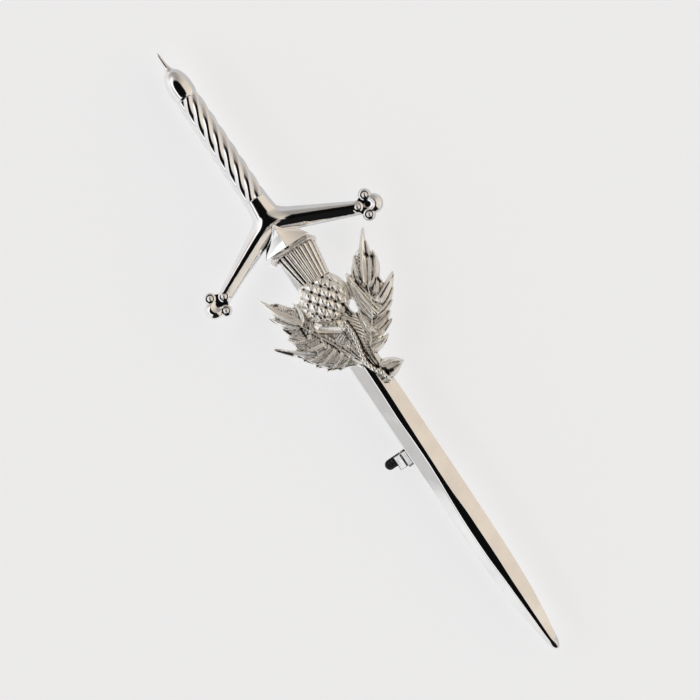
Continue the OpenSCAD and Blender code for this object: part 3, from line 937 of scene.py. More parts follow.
@dataclass
class Blade(Part):
    """The ridged blade and its tang, with a keen right flank and a softly rolled left one."""

    node: ClassVar[str] = "blade"
    slot: ClassVar[Slot] = Slot.CHROME
    sharp: ClassVar[float] = 24.0
    edge_round: float = 0.09
    edge_lean: float = 0.4
    flank_rows: int = 25
    flank_power: float = 1.4
    left_rolls: Rows = (
        (0.00, 0.70), (0.42, 0.64), (0.45, 0.72), (0.50, 0.62), (0.55, 0.58), (0.60, 0.74), (0.63, 0.92),
        (0.66, 1.12), (0.70, 1.32), (0.745, 1.42), (0.79, 1.36), (0.835, 1.18), (0.88, 1.13), (0.92, 1.20),
        (0.95, 1.40), (0.97, 1.65), (0.988, 2.10), (1.00, 2.20),
    )
    right_rolls: Rows = (
        (0.00, 0.40), (0.45, 0.42), (0.50, 0.27), (0.55, 0.16), (0.60, 0.06), (0.63, 0.06), (0.68, 0.27),
        (0.72, 0.27), (0.79, 0.22), (0.835, 0.08), (0.88, 0.05), (0.975, 0.05), (0.988, 1.60), (1.00, 2.20),
    )
    roll_power: float = 3.0
    taper: Rows = (
        (0.0, 1.0, 1.0), (0.5, 1.0, 1.0), (0.6, 1.0, 1.0), (0.7, 0.98, 0.99), (0.78, 0.94, 0.96),
        (0.83, 0.88, 0.92), (0.88, 0.78, 0.86), (0.92, 0.64, 0.78), (0.95, 0.51, 0.7), (0.975, 0.39, 0.62),
        (0.985, 0.34, 0.52), (0.992, 0.27, 0.4), (0.997, 0.18, 0.27), (1.0, 0.05, 0.14),
    )
    rings: int = 300
    ring_power: float = 0.8
    hole_past: float = 1.0

    def flank(self, x: Array, half: float, drop: float, roll: float) -> Array:
        """Gives how far the front falls from the ridge at a distance from it.

        Args:
            x: Distances from the ridge.
            half: Half width of the blade.
            drop: Fall from the ridge to the edge.
            roll: Width of the rolled stretch beside the ridge.

        Returns:
            The fall.
        """
        power = self.roll_power
        start = roll * power / (power + 1)
        slope = drop / (half - start)
        return np.where(x < roll, slope * x * (x / roll) ** power / (power + 1), slope * (x - start))

    def section(self, share: float) -> Array:
        """Draws the blade's section at a share of its length.

        Args:
            share: Share of the length, from the middle of the guard.

        Returns:
            Points to the right and towards the front, once round.
        """
        width, height = (table_value(self.taper, share, column) for column in (1, 2))
        rolls = (table_value(rows, share) * width for rows in (self.left_rolls, self.right_rolls))
        half = self.places.half_blade * width
        edge, crest = self.places.edge_h * height, self.places.blade_h * height
        soft = min(self.edge_round, edge / 3, half / 3)
        steps = np.linspace(0, 1, self.flank_rows) ** self.flank_power
        front: list[Pair] = []
        for side, shares, roll in zip((-1, 1), (1 - steps, steps[1:]), rolls):
            away = shares * (half - soft)
            front += zip(side * away, crest - self.flank(away, half, crest - edge, roll))
        lean = edge - soft * self.edge_lean
        back = [(half, lean), (half, soft), (half - soft, 0), (soft - half, 0), (-half, soft), (-half, lean)]
        return np.array([*front, *back])

    def build(self) -> Piece:
        """Builds the blade with its tang and the holes for the rivets.

        Returns:
            The blade.
        """
        at = self.places
        length = at.guard_y - at.tip_y
        start = at.shoulder / length
        rings = []
        for share in start + (1 - start) * np.linspace(0, 1, self.rings) ** self.ring_power:
            y = at.guard_y - share * length
            rings.append([(x, y, at.back_z + z) for x, z in self.section(float(share))])
        first = np.array(rings[0])
        angle = np.arctan2(first[:, 2] - at.axis_z, first[:, 0])
        tang = [ring_about(0, y, at.axis_z, at.tang_r, angle) for y in (at.tang_y, first[0, 1])]
        piece = self.piece_of(*loft(np.array([*tang, *rings])))
        low, through = at.back_z - self.hole_past, at.ridge_z + self.hole_past
        blind = at.back_z + at.plate_post_len
        holes = (
            (0.0, at.bulb_y, through, at.post_r),
            (0.0, at.lower_post_y, through, at.post_r),
            (0.0, at.hinge_y, blind, at.plate_post_r),
            (at.catch_post_x, at.joint[1], blind, at.plate_post_r),
        )
        for x, y, top, radius in holes:
            apply_boolean(piece, upright_rod(x, y, low, top, radius + at.seat_gap), Cut.REMOVE)
        return piece


@dataclass
class Crossguard(Skinned):
    """The sloped arms with their lobed ends, the collar above and the pointed skirt below, in one casting."""

    node: ClassVar[str] = "crossguard"
    slot: ClassVar[Slot] = Slot.CHROME
    sharp: ClassVar[float] = 60.0
    reach: float = 13.45
    drop: float = 5.9
    height: float = 2.6
    end_h: float = 1.8
    edge_h: float = 0.9
    upper_w: Pair = (2.5, 0.95)
    lower_w: Pair = (1.9, 1.45)
    upper_bow: Pair = (2.6, 3.5)
    lower_bow: Pair = (0.5, 4.0)
    bow_limit: float = 1.5
    outer_ball: Pair = (1.0, 1.5)
    inner_ball: Pair = (1.5, 1.02)
    ball_turn: float = 20.0
    most_ball_h: float = 1.1
    ball_fillet: float = 0.08
    hub_r: float = 1.65
    hub_h: float = 1.2
    dimple_r: float = 1.6
    dimple_depth: float = 0.1
    dimple_round: float = 0.06
    lobe_flat: float = 0.74
    bead_r: float = 0.42
    bead_fillet: float = 0.05
    collar_w: float = 4.8
    collar_flat: float = 0.92
    collar_power: float = 1.5
    collar_sink: float = 0.2
    grip_r: float = 1.9
    skirt_len: float = 4.5
    skirt_w: float = 7.8
    skirt_top_w: float = 1.3
    step: float = 0.085
    fillet: float = 0.22
    collar_fillet: float = 1.0
    edge: float = 0.13

    def arm(self, x: Array, y: Array, z: Array) -> Array:
        """Gives the field of both arms.

        Args:
            x: Distances from the sword's middle.
            y: Places along the sword.
            z: Heights above the blade's back.

        Returns:
            The field.
        """
        end = self.reach - self.hub_r * 2 / 3
        share = np.clip(x / end, 0, 1)
        away = y - self.places.guard_y + x * self.drop / self.reach
        upper, lower = between(self.upper_w, share), between(self.lower_w, share)
        rise = between((self.height, self.end_h), share) - self.edge_h
        up = np.clip(away / upper, 0, self.bow_limit) ** between(self.upper_bow, share)
        flat, power = self.lower_bow
        down = np.clip(-away / lower, 0, self.bow_limit)
        down = down * flat + (1 - flat) * down**power
        roof = self.edge_h + rise - rise * (up + down) - z
        sides = soft_meet(upper - away, lower + away, self.edge)
        bar = soft_meet(soft_meet(roof, sides, self.edge), z, self.edge)
        return np.minimum(bar, end - x)

    def finial(self, x: Array, y: Array, z: Array) -> Array:
        """Gives the field of an arm's end: three beaded lobes and a full outer one round a dished hub.

        Args:
            x: Distances from the sword's middle.
            y: Places along the sword.
            z: Heights above the blade's back.

        Returns:
            The field.
        """
        u, w = x - self.reach, y - self.places.guard_y + self.drop
        lift = z - (self.places.axis_z - self.places.back_z)
        radius = np.hypot(u, w)
        made = soft_meet(self.hub_r - radius, self.hub_h / 2 - np.abs(lift), self.edge)
        for quarter in range(4):
            angle = math.radians(quarter * 90 - self.ball_turn)
            ring_r, ball_r = self.inner_ball if quarter else self.outer_ball
            du, dw = u - ring_r * math.cos(angle), w - ring_r * math.sin(angle)
            squeezed = lift * max(ball_r, self.most_ball_h) / self.most_ball_h
            lobe = ball_r - np.sqrt(du**2 + dw**2 + squeezed**2)
            if quarter:
                lobe = soft_meet(lobe, self.lobe_flat - np.abs(lift), self.edge)
                high = ball_r - self.bead_r
                bead = self.bead_r - np.sqrt(du**2 + dw**2 + (np.abs(lift) - high) ** 2)
                lobe = soft_join(lobe, bead, self.bead_fillet)
            made = soft_join(made, lobe, self.ball_fillet)
        deep = self.hub_h / 2 - self.dimple_depth + self.dimple_r
        dimple = self.dimple_r - np.sqrt(radius**2 + (np.abs(lift) - deep) ** 2)
        return soft_cut(made, dimple, self.dimple_round)

    def collar(self, x: Array, y: Array, z: Array) -> Array:
        """Gives the field of the collar between the grip and the arms.

        Args:
            x: Distances from the sword's middle.
            y: Places along the sword.
            z: Heights above the blade's back.

        Returns:
            The field.
        """
        at = self.places
        share = np.clip((at.grip_y - y) / (at.grip_y - at.guard_y), 0, 1)
        wide = between((self.grip_r, self.collar_w / 2), share**self.collar_power)
        tall = self.grip_r * (1 + (self.collar_flat - 1) * share)
        lift = z - (at.axis_z - at.back_z)
        round_part = (1 - np.sqrt((x / wide) ** 2 + (lift / tall) ** 2)) * tall
        ends = slab(y, at.guard_y - self.collar_sink, at.grip_y - at.seat_gap)
        return soft_meet(round_part, ends, self.edge)

    def skirt(self, x: Array, y: Array, z: Array) -> Array:
        """Gives the field of the pointed skirt over the top of the blade.

        Args:
            x: Distances from the sword's middle.
            y: Places along the sword.
            z: Heights above the blade's back.

        Returns:
            The field.
        """
        share = np.clip((self.places.guard_y - y) / self.skirt_len, 0, 1)
        half = between((self.skirt_top_w, self.skirt_w), share) / 2
        slope = (self.height - self.edge_h) / half
        roof = (self.height - slope * x - z) / np.sqrt(1 + slope**2)
        made = soft_meet(roof, half - x, self.edge)
        low, high = self.places.guard_y - self.skirt_len, self.places.guard_y
        made = soft_meet(made, slab(y, low, high), self.edge)
        return soft_meet(made, z, self.edge)

    def solid(self, x: Array, y: Array, z: Array) -> Array:
        """Gives the field of the whole casting.

        Args:
            x: Coordinates to the right.
            y: Coordinates along the sword.
            z: Coordinates towards the front.

        Returns:
            The field.
        """
        at, away, lift = self.places, np.abs(x), z - self.places.back_z
        made = soft_join(self.arm(away, y, lift), self.finial(away, y, lift), self.fillet / 2)
        made = soft_join(made, self.collar(away, y, lift), self.collar_fillet)
        made = soft_join(made, self.skirt(away, y, lift), self.fillet / 2)
        gap = at.seat_gap
        seat = np.minimum(at.half_blade + gap - away, at.blade_h + gap - at.fall * away - lift)
        seat = np.minimum(seat, at.guard_y - at.shoulder + gap - y)
        bore = at.tang_r + gap - np.hypot(away, z - at.axis_z)
        return np.minimum(np.minimum(made, -seat), -bore)


@dataclass
class Grip(Part):
    """The grip of rounded strands, twisted a little over once round along its length."""

    node: ClassVar[str] = "grip"
    slot: ClassVar[Slot] = Slot.CHROME
    sharp: ClassVar[float] = 40.0
    strands: int = 6
    turns: float = 1.1
    radius: float = 1.9
    groove: float = 0.3
    crest: float = 0.5
    around: int = 144
    rings: int = 150

    def ring(self, y: float, share: float) -> Array:
        """Draws the outside of the grip at a share of its length.

        Args:
            y: Place along the sword.
            share: Share of the grip's length.

        Returns:
            The ring.
        """
        angle = even_angles(self.around)
        turn = 2 * math.pi * self.turns * share
        across = np.abs((angle * self.strands / math.pi + 1) % 2 - 1)
        fall = (np.hypot(across, self.crest) - self.crest) / (math.hypot(1, self.crest) - self.crest)
        return ring_about(0, y, self.places.axis_z, self.radius - self.groove * fall, -(angle + turn))

    def build(self) -> Piece:
        """Builds the grip with its bore.

        Returns:
            The grip.
        """
        at = self.places
        low, high = self.box()
        shares = np.linspace(0, 1, self.rings)
        outside = [self.ring(low.y + share * (high.y - low.y), share) for share in shares]
        bore_r, angle = at.tang_r + at.seat_gap, -even_angles(self.around)
        inside = [ring_about(0, y, at.axis_z, bore_r, angle) for y in (high.y, low.y)]
        return self.piece_of(*loft(np.array([*outside, *inside]), hollow=True))


@dataclass
class Pommel(Part):
    """The turned pommel with the point on its end."""

    node: ClassVar[str] = "pommel"
    slot: ClassVar[Slot] = Slot.CHROME
    sharp: ClassVar[float] = 30.0
    length: float = 4.8
    radius: float = 1.95
    point_r: float = 0.8
    face_r: float = 0.4
    sides: int = 96
    rings: int = 60
    bulge: Rows = (
        (0.00, 0.84), (0.06, 0.93), (0.16, 0.985), (0.34, 1.00), (0.52, 0.98),
        (0.68, 0.90), (0.82, 0.77), (0.93, 0.60), (1.00, 0.42),
    )
    point: Rows = (
        (0.00, 1.02), (0.12, 0.72), (0.32, 0.48), (0.62, 0.33), (0.92, 0.22), (1.00, 0.10),
    )

    def build(self) -> Piece:
        """Builds the pommel with the bore for the tang.

        Returns:
            The pommel.
        """
        at = self.places
        shares = np.linspace(0, 1, self.rings)
        bore_r, body_end = at.tang_r + at.seat_gap, at.pommel_y + self.length
        profile = [(bore_r, at.tang_y + at.seat_gap)]
        profile += [(radius, at.pommel_y) for radius in (bore_r, bore_r + self.face_r)]
        radii = self.radius * curve_through(*np.array(self.bulge).T, shares)
        profile += zip(radii, at.pommel_y + shares * self.length)
        radii = self.point_r * curve_through(*np.array(self.point).T, shares[2:])
        profile += zip(radii, body_end + shares[2:] * (at.end_y - at.pommel_y - self.length))
        return self.piece_of(*loft(turned(profile, 0, at.axis_z, self.sides)))


# The thistle


def nearest_on(x: Array, y: Array, start: Pair, end: Pair) -> tuple[Array, Array]:
    """Finds the nearest place on a line for each point.

    Args:
        x: Points to the right.
        y: Points along the sword.
        start: Where the line starts.
        end: Where it ends.

    Returns:
        The share along the line and the distance from it.
    """
    dx, dy = end[0] - start[0], end[1] - start[1]
    px, py = x - start[0], y - start[1]
    share = np.clip((px * dx + py * dy) / (dx * dx + dy * dy), 0, 1)
    return share, np.hypot(px - share * dx, py - share * dy)


@dataclass(frozen=True)
class Ridge:
    """A tapered ridge of the relief between two points."""

    start: Pair
    end: Pair
    half: Pair
    top: Pair
    profile: Profile = Profile.SOFT
    border: float = 0.5
    veins: float = 0.0
    vein_pitch: float = 0.5
    vein_lean: float = 0.9
    vein_fade: float = 4.0

    def height(self, x: Array, y: Array) -> Array:
        """Gives the ridge's height over the relief's back.

        Args:
            x: Points to the right.
            y: Points along the sword.

        Returns:
            The height, below zero well outside the ridge.
        """
        share, away = nearest_on(x, y, self.start, self.end)
        half = between(self.half, share)
        across = away / half
        crest = 1 - np.minimum(across, 1) ** self.profile.value
        made = between(self.top, share) * (self.border + (1 - self.border) * crest)
        if self.veins:
            length = math.dist(self.start, self.end)
            phase = (share * length - self.vein_lean * away) * 2 * math.pi / self.vein_pitch
            fade = np.clip(across * self.vein_fade, 0, 1) * np.clip((1 - across) * self.vein_fade, 0, 1)
            made = made + self.veins * np.cos(phase) * fade
        return made - WALL * np.maximum(away - half, 0)


@dataclass(frozen=True)
class Lobe:
    """A pointed lobe of a leaf, bowed and keeled, with veins that run to its tip."""

    root: Pair
    tip: Pair
    half: float
    top: float
    bow: float = 0.0
    keel: float = 0.2
    tip_share: float = 0.58
    border: float = 0.56
    vein: float = 0.08
    veins: float = 1.5
    vein_start: float = 5.0
    blunt: Pair = (1.8, 0.85)
    tip_half: float = 0.05
    fall_power: float = 1.2
    root_wall: float = 1.6

    def height(self, x: Array, y: Array) -> Array:
        """Gives the lobe's height over the relief's back.

        Args:
            x: Points to the right.
            y: Points along the sword.

        Returns:
            The height, below zero well outside the lobe.
        """
        dx, dy = self.tip[0] - self.root[0], self.tip[1] - self.root[1]
        length = math.hypot(dx, dy)
        px, py = x - self.root[0], y - self.root[1]
        along = (px * dx + py * dy) / length**2
        share = np.clip(along, 0, 1)
        across = (dx * py - dy * px) / length - self.bow * length * 4 * share * (1 - share)
        half = self.half * (1 - share ** self.blunt[0]) ** self.blunt[1] + self.tip_half
        beyond = np.hypot(np.maximum(np.abs(across) - half, 0), np.maximum(along - 1, 0) * length)
        side, keel = np.clip(across / half, -1, 1), self.keel
        fall = np.where(side > keel, (side - keel) / (1 - keel), (keel - side) / (1 + keel))
        top = self.top * (1 + (self.tip_share - 1) * share)
        made = top * (self.border + (1 - self.border) * (1 - fall**self.fall_power))
        fade = np.minimum(share * self.vein_start, 1)
        made = made + self.vein * np.cos(2 * math.pi * self.veins * fall) * (1 - share) * fade
        return made - WALL * beyond - self.root_wall * np.maximum(-along, 0) * length


Form = Ridge | Lobe


@dataclass(frozen=True)
class Leaf:
    """A leaf of the thistle: a low plate, a midrib and the lobes that fan out over it.

    Places and half widths are shares of the leaf's reach, and heights are shares of its thickness. A row of
    the plate holds x, y, half width and height, and a row of the midrib x, y and height. A row of the lobes
    holds the root's x and y, the tip's x and y, half width, height, bow and keel.
    """

    plate: Rows
    midrib: Rows
    lobes: Rows
    reach: float = 10.6
    thick: float = 1.25
    plate_border: float = 0.8
    plate_veins: Pair = (0.07, 0.55)
    rib_half: Pair = (0.24, 0.2)
    rib_border: float = 0.3

    def forms(self) -> list[Form]:
        """Draws the whole leaf.

        Returns:
            Its ridges and lobes.
        """
        reach, thick = self.reach, self.thick
        made: list[Form] = []
        for (x0, y0, half0, top0), (x1, y1, half1, top1) in zip(self.plate, self.plate[1:]):
            ends = (x0 * reach, y0 * reach), (x1 * reach, y1 * reach)
            half, top = (half0 * reach, half1 * reach), (top0 * thick, top1 * thick)
            made.append(Ridge(*ends, half, top, Profile.ROUND, self.plate_border, *self.plate_veins))
        for (x0, y0, top0), (x1, y1, top1) in zip(self.midrib, self.midrib[1:]):
            ends, top = ((x0 * reach, y0 * reach), (x1 * reach, y1 * reach)), (top0 * thick, top1 * thick)
            made.append(Ridge(*ends, self.rib_half, top, Profile.ROUND, self.rib_border))
        for x0, y0, x1, y1, half, top, bow, keel in self.lobes:
            ends = (x0 * reach, y0 * reach), (x1 * reach, y1 * reach)
            made.append(Lobe(*ends, half * reach, top * thick, bow, keel))
        return made


LEFT_LEAF = Leaf(
    plate=(
        (-0.10, -0.96, 0.100, 0.85), (-0.33, -0.76, 0.190, 0.80), (-0.48, -0.50, 0.230, 0.75),
        (-0.51, -0.22, 0.190, 0.72), (-0.56, 0.04, 0.150, 0.70), (-0.64, 0.25, 0.080, 0.60),
    ),
    midrib=((-0.10, -0.94, 1.20), (-0.25, -0.61, 1.24), (-0.40, -0.32, 1.20), (-0.53, -0.05, 1.00)),
    lobes=(
        (-0.46, -0.14, -0.77, 0.49, 0.078, 1.2, 0.04, 0.25),
        (-0.5, -0.14, -0.79, 0.19, 0.056, 1.12, 0.05, 0.3),
        (-0.42, -0.12, -0.405, 0.18, 0.06, 1.26, -0.14, -0.2),
        (-0.41, -0.3, -0.315, -0.105, 0.046, 1.22, -0.08, 0.25),
        (-0.45, -0.36, -0.765, -0.19, 0.066, 1.28, 0.1, 0.3),
        (-0.5, -0.36, -0.72, -0.06, 0.048, 1.1, 0.1, 0.3),
        (-0.52, -0.6, -0.98, -0.215, 0.048, 1.22, 0.04, -0.8),
        (-0.36, -0.55, -0.79, -0.4, 0.058, 1.3, 0.08, 0.3),
        (-0.31, -0.62, -0.73, -0.585, 0.058, 1.26, 0.08, 0.3),
        (-0.27, -0.7, -0.64, -0.755, 0.054, 1.22, 0.08, 0.3),
        (-0.21, -0.79, -0.54, -0.9, 0.052, 1.16, 0.08, 0.3),
        (-0.14, -0.87, -0.38, -0.98, 0.044, 1.12, 0.08, 0.3),
        (-0.36, -0.6, -0.35, -0.27, 0.04, 1.24, -0.05, 0.1),
    ),
)
RIGHT_LEAF = Leaf(
    plate=(
        (0.13, -0.96, 0.100, 0.85), (0.33, -0.76, 0.150, 0.80), (0.49, -0.50, 0.210, 0.75),
        (0.62, -0.22, 0.200, 0.72), (0.69, 0.02, 0.160, 0.70), (0.80, 0.20, 0.090, 0.60),
    ),
    midrib=((0.17, -0.92, 1.36), (0.36, -0.69, 1.36), (0.52, -0.46, 1.24), (0.62, -0.20, 1.00)),
    lobes=(
        (0.6, -0.18, 1.018, 0.52, 0.062, 1.2, 0.02, 0.45),
        (0.63, -0.22, 0.95, 0.35, 0.05, 1.24, -0.05, -0.2),
        (0.66, -0.2, 0.955, 0.175, 0.058, 1.28, -0.13, -0.25),
        (0.57, -0.1, 0.7, 0.26, 0.052, 1.16, 0.05, 0.3), (0.5, -0.16, 0.555, 0.1, 0.048, 1.14, 0.06, 0.3),
        (0.66, -0.34, 0.83, -0.02, 0.048, 1.34, -0.06, -0.2),
        (0.62, -0.47, 1.02, -0.232, 0.082, 1.3, -0.05, -0.2),
        (0.55, -0.58, 0.9, -0.42, 0.05, 1.22, -0.06, -0.3),
        (0.5, -0.63, 0.79, -0.56, 0.044, 1.26, -0.06, -0.3),
        (0.38, -0.76, 0.68, -0.672, 0.046, 1.24, -0.06, -0.3),
        (0.31, -0.84, 0.64, -0.775, 0.042, 1.2, -0.06, -0.3),
        (0.17, -0.99, 0.48, -0.925, 0.05, 1.3, -0.06, -0.35),
    ),
)
STEM_LEAF = Leaf(
    plate=(
        (0.07, -0.38, 0.190, 0.90), (-0.01, -0.75, 0.220, 0.95), (0.02, -1.02, 0.150, 0.95),
        (0.10, -1.22, 0.090, 0.95), (0.17, -1.38, 0.070, 0.95),
    ),
    midrib=(),
    lobes=(
        (-0.05, -1.06, -0.28, -0.51, 0.036, 1.26, 0.05, 0.0),
        (-0.03, -1.06, -0.19, -0.5, 0.036, 1.34, 0.03, 0.0),
        (-0.02, -1.04, -0.1, -0.51, 0.034, 1.36, 0.02, 0.0), (0.0, -1.0, -0.02, -0.52, 0.03, 1.3, 0.0, 0.0),
        (0.08, -1.2, 0.12, -0.5, 0.036, 1.34, 0.07, 0.0), (0.11, -1.22, 0.2, -0.56, 0.034, 1.3, 0.07, 0.0),
        (0.15, -1.2, 0.28, -0.66, 0.034, 1.26, 0.07, 0.0),
    ),
)


@dataclass
class Thistle(Skinned):
    """The cast thistle: brim, fluted tuft, studded bulb, leaves, beaded stem, split foot and two rivet posts.

    Its places are in the relief's own frame, round the bulb's middle. A row of the painted shade strokes or
    the worn strokes with painted highlights holds where a stroke starts, where it ends and its half width.
    """

    node: ClassVar[str] = "thistle"
    slot: ClassVar[Slot] = Slot.ANTIQUED
    sharp: ClassVar[float] = 75.0
    shift: float = 0.2
    bulb_r: float = 4.05
    bulb_h: float = 3.3
    stud_pitch: float = 1.66
    stud_row: float = 1.03
    stud_slant: float = 0.93
    stud_at: Pair = (0.57, 0.70)
    stud_h: float = 0.42
    stud_power: float = 1.5
    stud_end: Pair = (0.15, 0.6)
    stud_sink: float = 0.14
    pit_r: float = 0.34
    pit_depth: float = 0.5
    pit_fade: Triple = (0.7, -0.2, 1.8)
    flutes: float = 7.6
    flute_phase: float = 0.55
    flute_power: float = 0.6
    flute_depth: Triple = (0.12, 1.2, 0.45)
    tuft_at: float = 0.55
    tuft_len: float = 9.2
    tuft_half: Pair = (2.1, 3.05)
    tuft_h: float = 2.2
    tuft_root: float = 0.72
    tuft_crown: float = 0.3
    brim_at: float = 0.1
    brim_half: float = 3.9
    brim_len: float = 0.74
    brim_tops: Triple = (2.7, 2.35, 1.55)
    brim_bend: Pair = (0.82, 0.03)
    brim_end: Triple = (0.35, 0.5, 0.33)
    brim_border: float = 0.6
    leaves: tuple[Leaf, ...] = (LEFT_LEAF, RIGHT_LEAF, STEM_LEAF)
    stem: tuple[Pair, ...] = (
        (0.52, -4.5), (0.66, -6.6), (0.45, -8.3), (0.05, -9.9), (-0.12, -11.5), (0.30, -12.9), (1.30, -14.3),
    )
    stem_half: float = 0.52
    stem_h: float = 1.85
    stem_border: float = 0.4
    bead_r: float = 0.35
    bead_pitch: float = 0.7
    bead_margin: float = 0.2
    bead_sink: float = 0.05
    bead_wall: float = 6.0
    foot: Ridge = Ridge((-0.1, 0.2), (0.2, -1.35), (0.55, 0.42), (1.9, 1.4))
    toes: tuple[Lobe, ...] = (
        Lobe((-0.1, 0.7), (3.3, -0.05), half=0.95, top=1.9, bow=0.08, tip_share=0.75, border=0.7),
        Lobe((-0.2, -0.5), (2.7, -0.35), half=0.6, top=1.6, bow=-0.05, keel=-0.2, tip_share=0.75, border=0.7),
    )
    scale: Ridge = Ridge((-3.0, -3.2), (-0.3, -4.9), (0.85, 0.95), (1.9, 2.6), Profile.KEEN, 0.58)
    fill: tuple[Form, ...] = (
        Lobe(
            (5.5, -6.4), (4.9, 1.0), half=1.3, top=1.62, bow=0.03, keel=0.1,
            tip_share=0.85, border=0.72, vein=0.11, veins=2.5,
        ),
        Lobe(
            (3.5, -8.4), (3.5, -4.3), half=0.65, top=1.55, bow=0.06, keel=0.0,
            tip_share=0.8, border=0.6, vein=0.09,
        ),
        Ridge((3.6, -0.6), (4.3, -2.5), (0.75, 0.6), (1.0, 0.95), Profile.ROUND, 0.8),
    )
    hole_at: Pair = (2.95, -3.65)
    hole_turn: Pair = (0.97, 0.25)
    hole_r: float = 0.42
    hole_squeeze: float = 0.52
    hole_wall: float = 6.0
    notch_at: Pair = (1.75, -14.6)
    notch_r: float = 0.24
    notch_squeeze: Pair = (1.4, 0.7)
    notch_floor: float = 1.0
    notch_wall: float = 5.0
    seat_lift: float = 0.06
    post_bite: float = 1.1
    # Painted shade: strokes of thick dark patina laid where shade falls, on lobe undersides, in the tuft's
    # flutes and down the stem's right side.
    painted_shade_strokes: Rows = (
        (-10.3, -2.4, -8.6, -4.4, 0.30), (-8.5, 2.0, -8.0, 0.2, 0.16), (-7.0, 3.6, -6.5, 3.0, 0.20),
        (-7.6, -0.6, -7.1, -1.6, 0.20), (-5.4, -1.2, -5.4, -3.4, 0.18), (-8.0, -5.1, -6.9, -7.3, 0.14),
        (-6.9, -7.3, -5.5, -9.2, 0.14), (-5.5, -9.2, -3.7, -10.1, 0.14), (-1.6, -11.8, 0.0, -13.5, 0.14),
        (8.9, 2.0, 9.5, 1.1, 0.24), (8.3, -2.0, 8.6, -2.7, 0.24), (7.2, -4.6, 10.7, -2.9, 0.12),
        (6.0, -0.1, 6.4, -2.1, 0.13), (5.3, -0.5, 5.7, -2.6, 0.12), (5.0, -9.1, 6.9, -8.2, 0.16),
        (3.9, -10.6, 5.4, -10.1, 0.16), (1.1, -4.7, 1.25, -6.6, 0.12), (1.25, -6.6, 1.05, -8.3, 0.12),
        (1.05, -8.3, 0.65, -9.9, 0.12), (0.65, -9.9, 0.5, -11.5, 0.14), (0.5, -11.5, 0.95, -12.7, 0.18),
        (0.95, -12.7, 1.9, -14.2, 0.26), (1.7, -14.4, 2.5, -14.7, 0.30), (1.9, -2.4, 2.0, -4.4, 0.28),
        (-2.3, 8.4, -1.5, 3.6, 0.14), (-1.5, 8.4, -0.92, 3.6, 0.13),
    )
    # Worn crests with painted highlights: strokes that lighten the finish where highlights fall, on the
    # bract, leaf ridges and the stem's lit left side.
    worn_and_highlight_strokes: Rows = (
        (10.2, 4.7, 9.0, 3.0, 0.22), (8.4, 2.6, 8.5, 1.2, 0.22), (3.7, -7.4, 2.3, -9.8, 0.28),
        (2.8, -10.3, 4.6, -10.1, 0.3), (-8.0, 4.9, -6.8, 3.2, 0.22), (-3.0, 1.6, -3.2, -1.4, 0.8),
        (6.6, -4.3, 4.8, -6.4, 0.24), (-3.0, -3.2, 0.1, -4.9, 1.0), (-4.4, 1.5, -5.6, 0.4, 0.3),
        (3.2, -11.4, 2.9, -12.4, 0.45), (2.2, -6.6, 3.6, -9.4, 1.3), (9.0, -2.6, 9.9, -3.4, 0.3),
        (0.5, -5.2, 0.55, -8.0, 0.3), (0.3, -9.0, -0.1, -11.5, 0.3), (-0.1, -11.6, 0.4, -13.2, 0.3),
        (-6.6, -5.2, -4.4, -7.4, 0.3),
    )
    painted_shade_depth: float = 1.4
    worn_and_highlight_depth: float = 0.5
    hollow_scales: tuple[tuple[float, int, float], ...] = ((0.85, 8, 0.09), (0.55, 40, 0.32))
    step: float = 0.107
    margin: float = 0.5
    rounds: int = 2
    melt: float = 0.05
    forms: tuple[Form, ...] = field(init=False)

    def __post_init__(self) -> None:
        """Draws the forms of the relief once."""
        self.forms = (*(form for leaf in self.leaves for form in leaf.forms()), *self.small_forms())

    def bulb(self, x: Array, y: Array) -> Array:
        """Gives the height of the bulb and its lattice of pointed studs.

        Args:
            x: Points to the right of its middle.
            y: Points above its middle.

        Returns:
            The height.
        """
        radius = np.hypot(x, y)
        dome = self.bulb_h * np.sqrt(np.clip(1 - (radius / self.bulb_r) ** 2, 0, 1))
        dome = dome - WALL * np.maximum(radius - self.bulb_r, 0)
        u, v = x - self.stud_at[0], y - self.stud_at[1]
        row = np.round(v / self.stud_row)
        nearest = corner = np.full(np.broadcast(x, y).shape, FAR)
        for line in (row - 1, row, row + 1):
            du = u - self.stud_slant * line
            across = du - self.stud_pitch * np.round(du / self.stud_pitch)
            up = (v - line * self.stud_row) / self.stud_row
            nearest = np.minimum(nearest, np.abs(across) * 2 / self.stud_pitch + np.abs(up))
            halfway = du - self.stud_pitch / 2
            halfway = halfway - self.stud_pitch * np.round(halfway / self.stud_pitch)
            corner = np.minimum(corner, np.hypot(halfway, up * self.stud_row))
        stud = self.stud_h * (1 - np.minimum(nearest, 1) ** self.stud_power)
        loss, middle, start = self.pit_fade
        shallow = 1 - loss * np.clip(np.abs(x - middle) - start, 0, 1)
        pit = self.pit_depth * np.clip(1 - corner / self.pit_r, 0, 1) * shallow
        inset, width = self.stud_end
        fade = np.clip((self.bulb_r - inset - radius) / width, 0, 1)
        return dome - self.stud_sink + (stud - pit) * fade

    def tuft(self, x: Array, y: Array) -> Array:
        """Gives the height of the fluted tuft.

        Args:
            x: Points to the right of its middle.
            y: Points above the bulb's middle.

        Returns:
            The height.
        """
        foot, head = self.bulb_r * self.tuft_root, self.tuft_len - self.brim_len / 2
        half = between(self.tuft_half, np.clip((y - foot) / (head - foot), 0, 1))
        across = x / half
        wave = np.abs(np.sin((np.clip(across, -1, 1) * self.flutes / 2 + self.flute_phase) * math.pi))
        crown = 1 - self.tuft_crown * np.minimum(across**2, 1)
        least, more, start = self.flute_depth
        groove = least + more * np.clip(-across - start, 0, 1)
        made = self.tuft_h * crown * (1 - groove * (1 - wave**self.flute_power))
        for beyond in (np.abs(x) - half, foot - y, y - head):
            made = made - WALL * np.maximum(beyond, 0)
        return made

